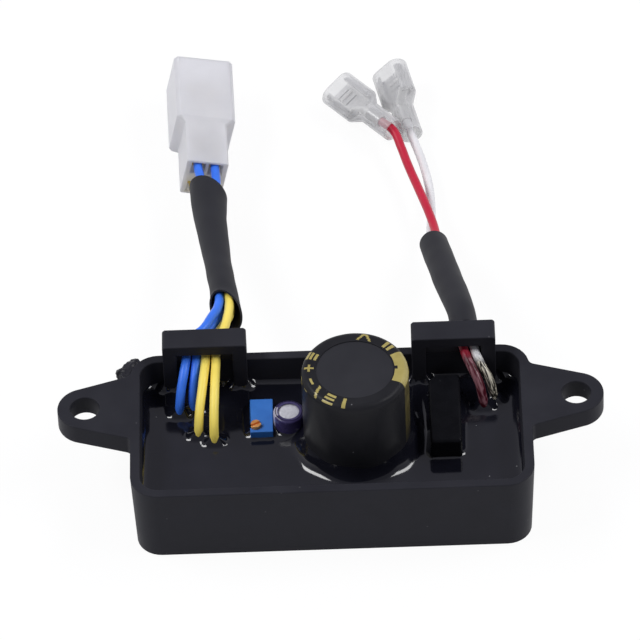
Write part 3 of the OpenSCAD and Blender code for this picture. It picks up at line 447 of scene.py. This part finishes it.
# ---------------------------------------------------------------- bridge rectifier
# Moulded epoxy block that stands in the resin, with one corner cut off to show
# its plus side. The resin has run over it and left it glossy.
block_epoxy = coated(
    "block_epoxy", (0.0050, 0.0052, 0.0068), (0.0072, 0.0074, 0.0096), (0.20, 0.34),
    grain=(1.6, 0.05), mottle=3, specks=(2.6, 0.2), Specular_IOR_Level=0.06,
)
bm = solid_of("rectifier_body")
break_edges(bm, 0.75, steps=5)
finished("rectifier_block", bm, [block_epoxy], "rectifier_body")


# ---------------------------------------------------------------- trimmer
# Oblong multi-turn trimmer in a blue moulded case. Its brass adjusting screw stands
# in a round well near one corner and turns without an end stop.
trimmer_blue = coated(
    "trimmer_blue", (0.030, 0.165, 0.56), (0.040, 0.20, 0.64), (0.34, 0.46),
    grain=(0.25, 0.006), mottle=3, specks=(1.4, 0.12),
)
bm = solid_of("trimmer_body")
break_edges(bm, 0.16)
finished("trimmer_case", bm, [trimmer_blue], "trimmer_body")

screw_brass = coated(
    "screw_brass", (0.80, 0.33, 0.085), (0.95, 0.50, 0.18), (0.30, 0.48),
    grain=(0.12, 0.008), mottle=0.8, Metallic=0.4,
)
bm = solid_of("trimmer_screw")
break_edges(bm, 0.09)
finished(
    "adjusting_screw_head", bm, [screw_brass], "trimmer_screw",
    body="adjusting_screw",
)


# ---------------------------------------------------------------- small capacitor
# Small electrolytic capacitor: a bright can in a shrunk purple sleeve with a pale
# polarity stripe, leaving a round window of bare metal on top.
small_axis = Vector((-8.874, 4.424, 0))
small_r, small_top, small_foot, small_window = 3.3, 16.5, 4.3, 2.2
small_film, small_collar = 0.12, 0.2
purple_film = coated(
    "purple_film", (0.044, 0.034, 0.120), (0.060, 0.048, 0.155), (0.20, 0.30),
    grain=(0.4, 0.004), mottle=2,
)
pale_ink = coated("pale_ink", (0.42, 0.40, 0.50), (0.52, 0.50, 0.60), (0.25, 0.35), mottle=1.2)
bm = turned(
    [(r, small_top) for r in (small_window, 2.4, 2.65, 2.9)]
    + [(small_r, small_top)]
    + [(small_r, small_top - 0.5 - 0.35 * i) for i in range(1, 14)]
    + [(small_r, small_foot), (small_r - small_film, small_foot),
       (small_r - small_film, small_top - small_collar), (small_window, small_top - small_collar)],
    small_axis, 120,
)
for inset, drop in ((0, 0), (small_film, small_collar)):
    rim = [e for e in bm.edges if at_ring(e, small_axis, small_r - inset, small_top - drop)]
    bmesh.ops.bevel(
        bm, geom=rim, offset=0.55 - inset, affect="EDGES", segments=6, profile=0.5, material=-1
    )
for face in bm.faces:
    middle = face.calc_center_median() - small_axis
    turn = math.degrees(math.atan2(middle.y, middle.x)) % 360
    out = math.hypot(middle.x, middle.y)
    stripe = 152 < turn < 206 and (out > 2.5 or middle.z < small_top - 0.3)
    minus = abs(turn - 179) < 14 and (middle.z - 9.4) % 2.2 < 0.5 and middle.z < 15
    face.material_index = int(stripe and not minus)
finished(
    "small_capacitor_film", bm, [purple_film, pale_ink], "small_capacitor_sleeve",
    flat=False,
)
bm = turned(
    [(r, small_top - drop)
     for r, drop in ((0, 0.16), (1.1, 0.17), (1.8, 0.2), (2.25, 0.3), (3.05, 0.42))]
    + [(3.05, 4.4), (0, 4.4)],
    small_axis, 72,
)
bright_case = coated(
    "bright_case", (0.66, 0.66, 0.70), (0.86, 0.86, 0.90), (0.42, 0.60),
    grain=(0.5, 0.03), mottle=0.7, Metallic=0.55,
)
finished(
    "small_capacitor_case", bm, [bright_case], "small_capacitor_can", flat=False
)


# ---------------------------------------------------------------- connector
# Four-way housing of natural nylon, milky and a little see-through, with wire cells
# in its neck, an open mouth and a latch below. The contacts stand inside as blades.
nylon = coated(
    "natural_nylon", (0.87, 0.87, 0.91), (0.91, 0.91, 0.95), (0.34, 0.46),
    grain=(0.4, 0.006), mottle=6, Subsurface_Weight=0.5, Subsurface_Scale=0.003,
    Subsurface_Radius=(1, 1, 1), Transmission_Weight=0.35, IOR=1.45,
)
bm = solid_of("connector_housing")
break_edges(bm, 0.2)
connector = finished("connector_shell", bm, [nylon], "connector_housing")
brass = coated(
    "contact_brass", (0.68, 0.5, 0.2), (0.78, 0.6, 0.28), (0.25, 0.36),
    grain=(0.2, 0.004), Metallic=1,
)
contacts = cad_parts["connector_contacts"]
contacts.data.materials.clear()
contacts.data.materials.append(brass)


# ---------------------------------------------------------------- spade terminals
# Two tinned push-on terminals, folded from sheet and crimped on the red and the
# white wire, each in a soft sleeve of clear vinyl. A tongue is lanced in the sheet.
vinyl = coated(
    "clear_vinyl", (0.60, 0.60, 0.61), (0.68, 0.68, 0.69), (0.16, 0.30),
    grain=(1.4, 0.02), mottle=3,
)
tree = vinyl.node_tree
slope = tree.nodes.new("ShaderNodeLayerWeight")
slope.inputs["Blend"].default_value = 0.35
dense = tree.nodes.new("ShaderNodeMapRange")
dense.inputs["To Min"].default_value, dense.inputs["To Max"].default_value = 0.22, 0.80
tree.links.new(slope.outputs["Facing"], dense.inputs["Value"])
tree.links.new(dense.outputs[0], tree.nodes["Principled BSDF"].inputs["Alpha"])
spade_tin = coated(
    "spade_tin", (0.66, 0.66, 0.65), (0.80, 0.80, 0.78), (0.34, 0.48),
    grain=(0.3, 0.006), mottle=2, Metallic=0.45,
)
tongue_shine = coated(
    "tongue_shine", (0.90, 0.89, 0.86), (0.96, 0.95, 0.92), (0.22, 0.32), mottle=1
)
slot_shade = coated("slot_shade", (0.10, 0.10, 0.10), (0.16, 0.16, 0.16), (0.5, 0.6), mottle=1)
spade_tip, sheet_face, tongue_w = 19, -0.9, 3.2
# The tongue and the slots at its ends: distance back from the tip, length, height, finish.
lanced = [(2.3, 0.85, 0.34, 1), (1.5, 0.2, 0.05, 2), (4.1, 0.3, 0.05, 2)]
# Where each terminal lies, its turn in degrees and its roll about its own length.
lays = {
    "red": ((15.4, 98.4, 6.2), (-3, 0, 39), -20),
    "white": ((19.4, 100, 3.1), (4.5, 0, 13), -44),
}
spades, covers = {}, {}
for colour, (spot, way, lean) in lays.items():
    bm = solid_of("terminal_" + colour)
    break_edges(bm, 0.08, steps=2)
    lay = (
        Matrix.Translation(spot)
        @ Euler([math.radians(a) for a in way]).to_matrix().to_4x4()
        @ Matrix.Rotation(math.radians(lean), 4, "Y")
    )
    for back, length, rise, coat in lanced:
        made = bmesh.ops.create_cube(bm, size=1)["verts"]
        middle = Vector((0, spade_tip - back, sheet_face + rise / 2))
        size = Matrix.Diagonal((tongue_w, length, rise, 1))
        bmesh.ops.transform(bm, verts=made, matrix=lay @ Matrix.Translation(middle) @ size)
        for face in {f for v in made for f in v.link_faces}:
            face.material_index = coat
    spades[colour] = finished(
        "spade_" + colour, bm, [spade_tin, tongue_shine, slot_shade],
        "terminal_" + colour,
    )
    bm = solid_of("cover_" + colour)
    break_edges(bm, 0.12, sharper=50, steps=2)
    covers[colour] = finished(
        "vinyl_cover_" + colour, bm, [vinyl], "cover_" + colour, smooth=60
    )


# ---------------------------------------------------------------- wires
# Six stranded wires in vinyl insulation, soldered to the board. They rise from the
# resin, leave under the arches and end in the connector and in the two terminals.
wire_d = 1.95
routes = {
    "blue_left": [
        (-32, 8.8, 4.1), (-32, 8.8, 9), (-32, 8.8, 13), (-31.8, 9.6, 15.4), (-31.4, 11.4, 17.6),
        (-30.8, 13.8, 19.4), (-30.3, 16.6, 20.3), (-30, 19.4, 20.5), (-28.9, 22, 21.3),
        (-26.4, 24.6, 21.6), (-24.9, 27.7, 21.5), (-23.5, 31.2, 20.9), (-23.2, 37.5, 19.6),
        (-23.9, 44, 17.9), (-24.6, 51, 15.8), (-24.9, 58.5, 14.3), (-25, 66, 12.8),
        (-24.7, 73, 11.3), (-23.9, 79, 10.2), (-24.13, 84.37, 9.91), (-24.19, 86.37, 9.51),
        (-24.28, 89.37, 9.51),
    ],
    "blue_right": [
        (-29.2, 9.8, 4.1), (-29.2, 9.8, 9), (-29.2, 9.8, 13), (-29.1, 10.5, 15.3),
        (-28.8, 12.3, 17.5), (-28.4, 14.6, 19.2), (-28.1, 17, 20.1), (-28, 19.4, 20.2),
        (-27.4, 22.4, 19.6), (-25.9, 25.2, 19.3), (-24.3, 28.2, 19), (-23.1, 31.6, 18.5),
        (-23.2, 37.5, 17.6), (-23.9, 44, 15.9), (-24.6, 51, 13.8), (-25.8, 58.5, 12.2),
        (-26.8, 66, 11), (-27.4, 73, 10.2), (-27.1, 79, 10.7), (-27.84, 84.26, 10.73),
        (-27.9, 86.26, 10.33), (-27.99, 89.26, 10.33),
    ],
    "yellow_left": [
        (-28, 2, 4.1), (-28, 2, 9), (-28, 2, 12.6), (-27.9, 2.8, 15), (-27.6, 5, 17.3),
        (-27.1, 8.2, 19), (-26.6, 12, 20.1), (-26.2, 16, 20.3), (-26, 19.4, 20.2),
        (-25, 22.4, 19.8), (-23.6, 25.2, 19.3), (-22.2, 28.2, 18.9), (-20.9, 31.6, 18.5),
        (-21.2, 37.5, 17.6), (-21.9, 44, 15.9), (-22.6, 51, 13.8), (-23.7, 58.5, 11.3),
        (-25, 66, 9.2), (-26.3, 73, 7.5), (-27.2, 79, 7.4), (-29.07, 84.23, 4.77),
        (-29.22, 89.22, 4.77),
    ],
    "yellow_right": [
        (-24.7, 0.1, 4.1), (-24.7, 0.1, 9), (-24.7, 0.1, 12.6), (-24.7, 0.9, 15),
        (-24.6, 3.2, 17.4), (-24.4, 6.8, 19.2), (-24.2, 11, 20.2), (-24, 15.4, 20.4),
        (-23.9, 19.4, 20.5), (-23.1, 22, 21), (-22.1, 24.7, 21.3), (-21.4, 28.2, 21.1),
        (-21, 31.6, 20.8), (-21.2, 37.5, 19.6), (-21.9, 44, 17.9), (-22.6, 51, 15.8),
        (-22.8, 58.5, 13.4), (-23.2, 66, 11), (-23.6, 73, 8.6), (-24.5, 79, 7),
        (-25.36, 84.34, 3.95), (-25.51, 89.33, 3.95),
    ],
    "red": [
        (32.4, 7.9, 4.1), (32.4, 7.9, 9), (32.4, 7.9, 12.8), (32.1, 8.6, 15), (31.5, 10.2, 17.2),
        (30.3, 12.4, 18.9), (29.1, 15.2, 19.9), (28.4, 18.2, 20.2), (28, 22.6, 20.3),
        (27.4, 29, 19.5), (26.5, 35.5, 17.6), (25.7, 42, 15.4), (25, 48.5, 13.2), (24.4, 55, 10.7),
        (23.9, 61, 8.4), (23.8, 65.6, 6.8), (22.5, 72.9, 5.8), (20.6, 80.5, 5.1), (18.2, 89.2, 5),
        (17, 93.8, 5.4), (15.4, 98.4, 6.2), (12.89, 101.5, 5.99), (10.69, 104.22, 5.81),
    ],
    "white": [
        (34.6, 9.9, 4.1), (34.6, 9.9, 9), (34.6, 9.9, 12.8), (34.2, 10.6, 15), (33.4, 12, 17.1),
        (32.1, 13.8, 18.8), (31.1, 16, 19.9), (30.6, 18.4, 20.2), (30.1, 22.6, 20.3),
        (29.4, 29, 18.9), (28.3, 35.5, 16.4), (26.9, 42, 13.6), (25.6, 48.5, 11), (24.2, 55, 8.5),
        (22.9, 61, 6.4), (22.7, 65.6, 4.9), (22.8, 69.5, 4), (23.1, 73.8, 3.3), (23.1, 77.8, 3),
        (23, 82, 2.8), (22.5, 86.5, 2.8), (21.6, 91.5, 2.8), (20.4, 96.3, 2.9), (19.4, 100, 3.1),
        (18.5, 103.89, 3.41), (17.72, 107.28, 3.69),
    ],
}
dusty_vinyl = {"specks": (2.4, 0.1), "Specular_IOR_Level": 0.3}
insulation = {
    colour: coated(colour + "_vinyl", dark, light, rough, grain=(0.5, 0.004), mottle=5, **more)
    for colour, dark, light, rough, more in (
        ("blue", (0.040, 0.170, 0.77), (0.050, 0.205, 0.92), (0.30, 0.40), dusty_vinyl),
        ("yellow", (0.92, 0.73, 0.13), (0.97, 0.79, 0.16), (0.32, 0.42), dusty_vinyl),
        ("red", (0.50, 0.014, 0.042), (0.57, 0.020, 0.054), (0.30, 0.40), dusty_vinyl),
        ("white", (0.80, 0.80, 0.81), (0.86, 0.86, 0.87), (0.30, 0.40), {}),
    )
}


def resin_film_and_sheen(material, dark, sheen, start, end, run, thin):
    """Film of resin on a wire that runs one way, dark with pale streaks of painted sheen along it,
    full from one place along Y on.
    """
    tree = material.node_tree
    shader = tree.nodes["Principled BSDF"]
    where = tree.nodes.new("ShaderNodeTexCoord")
    apart = tree.nodes.new("ShaderNodeSeparateXYZ")
    fade = tree.nodes.new("ShaderNodeMapRange")
    fade.inputs["From Min"].default_value, fade.inputs["From Max"].default_value = start, end
    stretch = tree.nodes.new("ShaderNodeMapping")
    stretch.vector_type = "TEXTURE"
    stretch.inputs["Rotation"].default_value = Vector(run).to_track_quat("Z", "Y").to_euler()
    stretch.inputs["Scale"].default_value = (thin, thin, 0.006)
    sheen_runs = tree.nodes.new("ShaderNodeTexNoise")
    sheen_runs.inputs["Scale"].default_value = 1
    sheen_runs.inputs["Detail"].default_value = 3
    sheen_lines = tree.nodes.new("ShaderNodeMapRange")
    sheen_lines.inputs["From Min"].default_value, sheen_lines.inputs["From Max"].default_value = 0.47, 0.60
    sheen_mix = tree.nodes.new("ShaderNodeMix")
    sheen_mix.data_type = "RGBA"
    sheen_mix.inputs[6].default_value, sheen_mix.inputs[7].default_value = (*dark, 1), (*sheen, 1)
    over = tree.nodes.new("ShaderNodeMix")
    over.data_type = "RGBA"
    bare = shader.inputs["Base Color"].links[0].from_socket
    tree.links.new(where.outputs["Object"], apart.inputs[0])
    tree.links.new(apart.outputs["Y"], fade.inputs["Value"])
    tree.links.new(where.outputs["Object"], stretch.inputs["Vector"])
    tree.links.new(stretch.outputs[0], sheen_runs.inputs["Vector"])
    tree.links.new(sheen_runs.outputs[0], sheen_lines.inputs["Value"])
    tree.links.new(sheen_lines.outputs[0], sheen_mix.inputs[0])
    tree.links.new(fade.outputs[0], over.inputs[0])
    tree.links.new(bare, over.inputs[6])
    tree.links.new(sheen_mix.outputs[2], over.inputs[7])
    tree.links.new(over.outputs[2], shader.inputs["Base Color"])


# The dark film on the red and the white wire is resin; its pale streaks are painted sheen.
resin_film_and_sheen(
    insulation["red"], (0.062, 0.003, 0.010), (0.24, 0.11, 0.13), 0.0170, 0.0140,
    (-3.3, 7.3, 7.1), 0.0007,
)
resin_film_and_sheen(
    insulation["white"], (0.016, 0.013, 0.010), (0.62, 0.58, 0.47), 0.0150, 0.0136,
    (-3.5, 6.1, 7.1), 0.00032,
)


def insulated(name, route, finish, node):
    """Wire as one smooth curve through the points of its route."""
    curve = bpy.data.curves.new(name, "CURVE")
    curve.dimensions = "3D"
    line = curve.splines.new("BEZIER")
    line.bezier_points.add(len(route) - 1)
    for point, place in zip(line.bezier_points, route):
        point.co = Vector(place) / 1000
        point.handle_left_type = point.handle_right_type = "AUTO"
    curve.resolution_u = 6
    curve.bevel_depth = wire_d / 2000
    curve.bevel_resolution = 5
    curve.use_fill_caps = True
    curve.materials.append(finish)
    piece = bpy.data.objects.new(name, curve)
    scene.collection.objects.link(piece)
    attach(piece, "unit")
    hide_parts(node)
    return piece


for name, route in routes.items():
    colour = name.split("_")[0]
    piece = insulated("lead_" + name, route, insulation[colour], "wire_" + name)


# ---------------------------------------------------------------- black sleeves
# Two lengths of soft black tubing pushed over the wires. The left one is cut at a
# slant at both ends, and is stretched wider at the connector.
tubing = coated(
    "black_tubing", (0.0210, 0.0212, 0.0262), (0.0275, 0.0277, 0.0335), (0.54, 0.66),
    grain=(0.35, 0.012), mottle=7, specks=(3.4, 0.1), Specular_IOR_Level=0.15,
)


def eased(points, per):
    """Smooth line of vectors through points, with a number of steps to each stretch."""
    ends = [points[0] * 2 - points[1], *points, points[-1] * 2 - points[-2]]
    line = []
    for a, b, c, d in zip(ends, ends[1:], ends[2:], ends[3:]):
        for i in range(per):
            t = i / per
            line.append(
                0.5 * (2 * b + (c - a) * t + (2 * a - 5 * b + 4 * c - d) * t**2
                       + (3 * b - a - 3 * c + d) * t**3)
            )
    return [*line, points[-1]]


def tube(route, radii, wall, slant, trim):
    """Open tube along a route, cut at a slant at its first end and trimmed at its last."""
    line = eased([Vector((*p, r)) for p, r in zip(route, radii)], 5)
    first_rings, last_rings = 4, 9
    bm = bmesh.new()
    ring = bmesh.ops.create_circle(bm, cap_ends=False, segments=40, radius=1)["verts"]
    edges = list(bm.edges)
    last = Matrix.Identity(4)
    for i, spot in enumerate(line):
        ahead = (line[min(i + 1, len(line) - 1)] - line[max(i - 1, 0)]).to_3d().normalized()
        side = (Vector((1, 0, 0)) - ahead * ahead.x).normalized()
        over = side.cross(ahead)
        r = spot[3]
        lean = r * max(0, 1 - i / first_rings)
        cut = trim * max(0, 1 - (len(line) - 1 - i) / last_rings)
        place = Matrix((
            (*(side * r + ahead * (slant[0] * lean - cut)), 0),
            (*(over * r + ahead * (slant[1] * lean + 0.4 * cut)), 0),
            (*ahead, 0),
            (*(spot.to_3d() - ahead * cut), 1),
        )).transposed()
        if i:
            grown = bmesh.ops.extrude_edge_only(bm, edges=edges)["geom"]
            ring = [g for g in grown if isinstance(g, bmesh.types.BMVert)]
            edges = [g for g in grown if isinstance(g, bmesh.types.BMEdge)]
        bmesh.ops.transform(bm, matrix=place @ last.inverted(), verts=ring)
        last = place
    bmesh.ops.recalc_face_normals(bm, faces=bm.faces)
    bmesh.ops.solidify(bm, geom=bm.faces, thickness=wall)
    for v in bm.verts:
        v.co += 0.10 * Vector(noise.noise_vector(v.co * 0.22))
    return bm


# The noise that leaves the tubing uneven starts from the same place on every run. Each
# length has its route, its radius at each point, its slant and its trim.
noise.seed_set(5)
tubing_wall = 0.4
for side, route, radii, slant, trim in (
    (
        "left",
        [(-21.8, 31.4, 19.5), (-22.2, 37.5, 18.6), (-22.9, 44, 16.9), (-23.6, 51, 14.8),
         (-24.3, 58.5, 12.8), (-25, 66, 11), (-25.5, 73, 9.4), (-25.8, 80.2, 8.6)],
        (3.4, 2.95, 2.9, 2.95, 3.2, 3.45, 3.8, 4.1), (-0.6, 0.9), 2.3,
    ),
    (
        "right",
        [(29, 22.6, 20.2), (28.4, 29, 19.2), (27.4, 35.5, 17), (26.3, 42, 14.5),
         (25.3, 48.5, 12.1), (24.3, 55, 9.6), (23.3, 61.7, 7.15)],
        (2.95, 3, 3.1, 3.2, 3.2, 3.2, 3.15), (0, 0), 0,
    ),
):
    piece = finished(
        "tubing_" + side, tube(route, radii, tubing_wall, slant, trim), [tubing],
        "sleeve_" + side, smooth=50, flat=False,
    )


# ---------------------------------------------------------------- potting resin
# Black resin poured into the tray round the parts. While wet it crept up the walls,
# the legs of the arches, the parts and the wires, and it set with a hard gloss.
resin_top, resin_foot = 12.0, 1.6
well = {"x": 40.05, "y": 18.2, "mid": -0.8, "corner_x": 36.25, "corner_y": 14.4}
# The wires' feet, and the pairs of them that resin has joined.
feet = [Vector(route[0]).to_2d() for route in routes.values()]
webs = [(feet[0], feet[1]), (feet[2], feet[3]), (feet[4], feet[5])]
# Round parts: axis, radius, and the height and reach of the resin's climb.
rounds = [(can_axis, sleeve_r, 3.8, 1.2), (small_axis, small_r, 0.9, 0.8)]
# Square parts, with the legs of the arches: two sides, two ends, corner and reach.
arch_x, leg_x, half_leg = 26.35, 7.4, 1.5
legs = [side * arch_x + end for side in (-1, 1) for end in (-leg_x, leg_x)]
blocks = [
    (20.75, 27.45, -6.4, 13.2, 2.5, 1.0), (-17.104, -12.274, 0.909, 10.439, 1.9, 1.3),
    *((leg - half_leg, leg + half_leg, 15.8, 21.2, 1.45, 1.9) for leg in legs),
]


def fillet(away, reach):
    """Height of the resin's slope round a part, which runs out at a distance from the part."""
    return 0.26 * math.log1p(math.exp((reach - max(-0.5, away)) / 0.3))


def resin_height(x, y):
    """Height of the set resin at a place in the tray."""
    spot = Vector((x, y))
    uneven = 1 + 0.25 * noise.noise(Vector((x * 0.16, y * 0.16, 2)))
    dx = max(0, abs(x) - well["corner_x"])
    dy = max(0, abs(y - well["mid"]) - well["corner_y"])
    if dx > 0 and dy > 0:
        from_wall = well["x"] - well["corner_x"] - math.hypot(dx, dy)
    else:
        from_wall = min(well["x"] - abs(x), well["y"] - abs(y - well["mid"]))
    climbs = [0.9 * math.exp(-max(0, from_wall) / 0.8)]
    for axis, r, up, reach in rounds:
        away = (spot - axis.to_2d()).length - r
        climbs.append(up * uneven * math.exp(-max(-0.5, away) / reach))
    for x0, x1, y0, y1, corner, reach in blocks:
        aside, ahead = max(x0 + corner - x, 0, x - x1 + corner), max(0, y0 + corner - y)
        away = math.hypot(aside, ahead, max(0, y - y1 + corner))
        reach *= uneven * (1 - 0.75 * (ahead / max(away, 0.01)) ** 4)
        climbs.append(fillet(away - corner, reach))
    for foot in feet:
        away = (spot - foot).length
        if away < 6:
            front = max(0, foot.y - y) / max(away, 0.01)
            climbs.append(fillet(away - wire_d / 2, 1.9 - 1.2 * front**2))
    for a, b in webs:
        along = min(1, max(0, (spot - a).dot(b - a) / (b - a).length_squared))
        climbs.append(1.5 * math.exp(-((spot - a.lerp(b, along)).length / 1.1) ** 2))
    climb = sum(c**3 for c in climbs) ** (1 / 3)
    swell = noise.noise(Vector((x * 0.11, y * 0.11, 7))) * 0.10
    return resin_top + swell + climb


resin_black = coated(
    "potting_resin", (0.0050, 0.0052, 0.0090), (0.0085, 0.0088, 0.0140), (0.07, 0.13),
    grain=(3.0, 0.008), mottle=9, specks=(2.8, 0.4), Specular_IOR_Level=0.68,
)
bm = bmesh.new()
bmesh.ops.create_grid(bm, x_segments=420, y_segments=192, size=1)
for v in bm.verts:
    y = v.co.y * well["y"]
    past = max(0, abs(y) - well["corner_y"])
    bow = math.sqrt(max(0, (well["y"] - well["corner_y"]) ** 2 - past**2))
    squash = (well["x"] - well["corner_x"]) / (well["y"] - well["corner_y"])
    half = well["corner_x"] + bow * squash
    v.co.x, v.co.y = v.co.x * half, y + well["mid"]
    v.co.z = resin_height(v.co.x, v.co.y)
border = [e for e in bm.edges if e.is_boundary]
skirt = bmesh.ops.extrude_edge_only(bm, edges=border)["geom"]
for v in (g for g in skirt if isinstance(g, bmesh.types.BMVert)):
    v.co = Vector((v.co.x * 0.985, (v.co.y - well["mid"]) * 0.975 + well["mid"], resin_foot))
bmesh.ops.contextual_create(bm, geom=[g for g in skirt if isinstance(g, bmesh.types.BMEdge)])
bmesh.ops.recalc_face_normals(bm, faces=bm.faces)
finished("resin_pour", bm, [resin_black], "potting_resin", flat=False, smooth=60)


# ---------------------------------------------------------------- resin run
# A run of resin that slopped over the back left corner, and set on the outside of
# the wall as a lump that hangs over the back of the ear.
drops = [((-41.4, 18.1, 17.2), 1.7), ((-44.1, 15.8, 17.5), 1.25), ((-42.4, 13.9, 16.4), 2.0)]
bm = bmesh.new()
bmesh.ops.create_icosphere(bm, subdivisions=5, radius=1)
for v in bm.verts:
    way = v.co.normalized()
    centre, r = max(drops, key=lambda drop: Vector(drop[0]).dot(way) + drop[1])
    v.co = Vector(centre) + way * r
stretched = [e for e in bm.edges if e.calc_length() > 0.6]
bmesh.ops.subdivide_edges(bm, edges=stretched, cuts=9, use_grid_fill=True)
for _ in range(14):
    bmesh.ops.smooth_vert(
        bm, verts=bm.verts, factor=0.5, use_axis_x=True, use_axis_y=True, use_axis_z=True
    )
for v in bm.verts:
    v.co += v.normal * (0.34 * noise.noise(v.co * 0.8) + 0.16 * noise.noise(v.co * 2.1))
resin_dull = coated(
    "dull_resin", (0.016, 0.0162, 0.021), (0.022, 0.0222, 0.028), (0.26, 0.40),
    grain=(0.5, 0.01), mottle=3, specks=(2.6, 0.2), Specular_IOR_Level=0.15,
)
finished("resin_run", bm, [resin_dull], "resin_spill", flat=False, smooth=60)
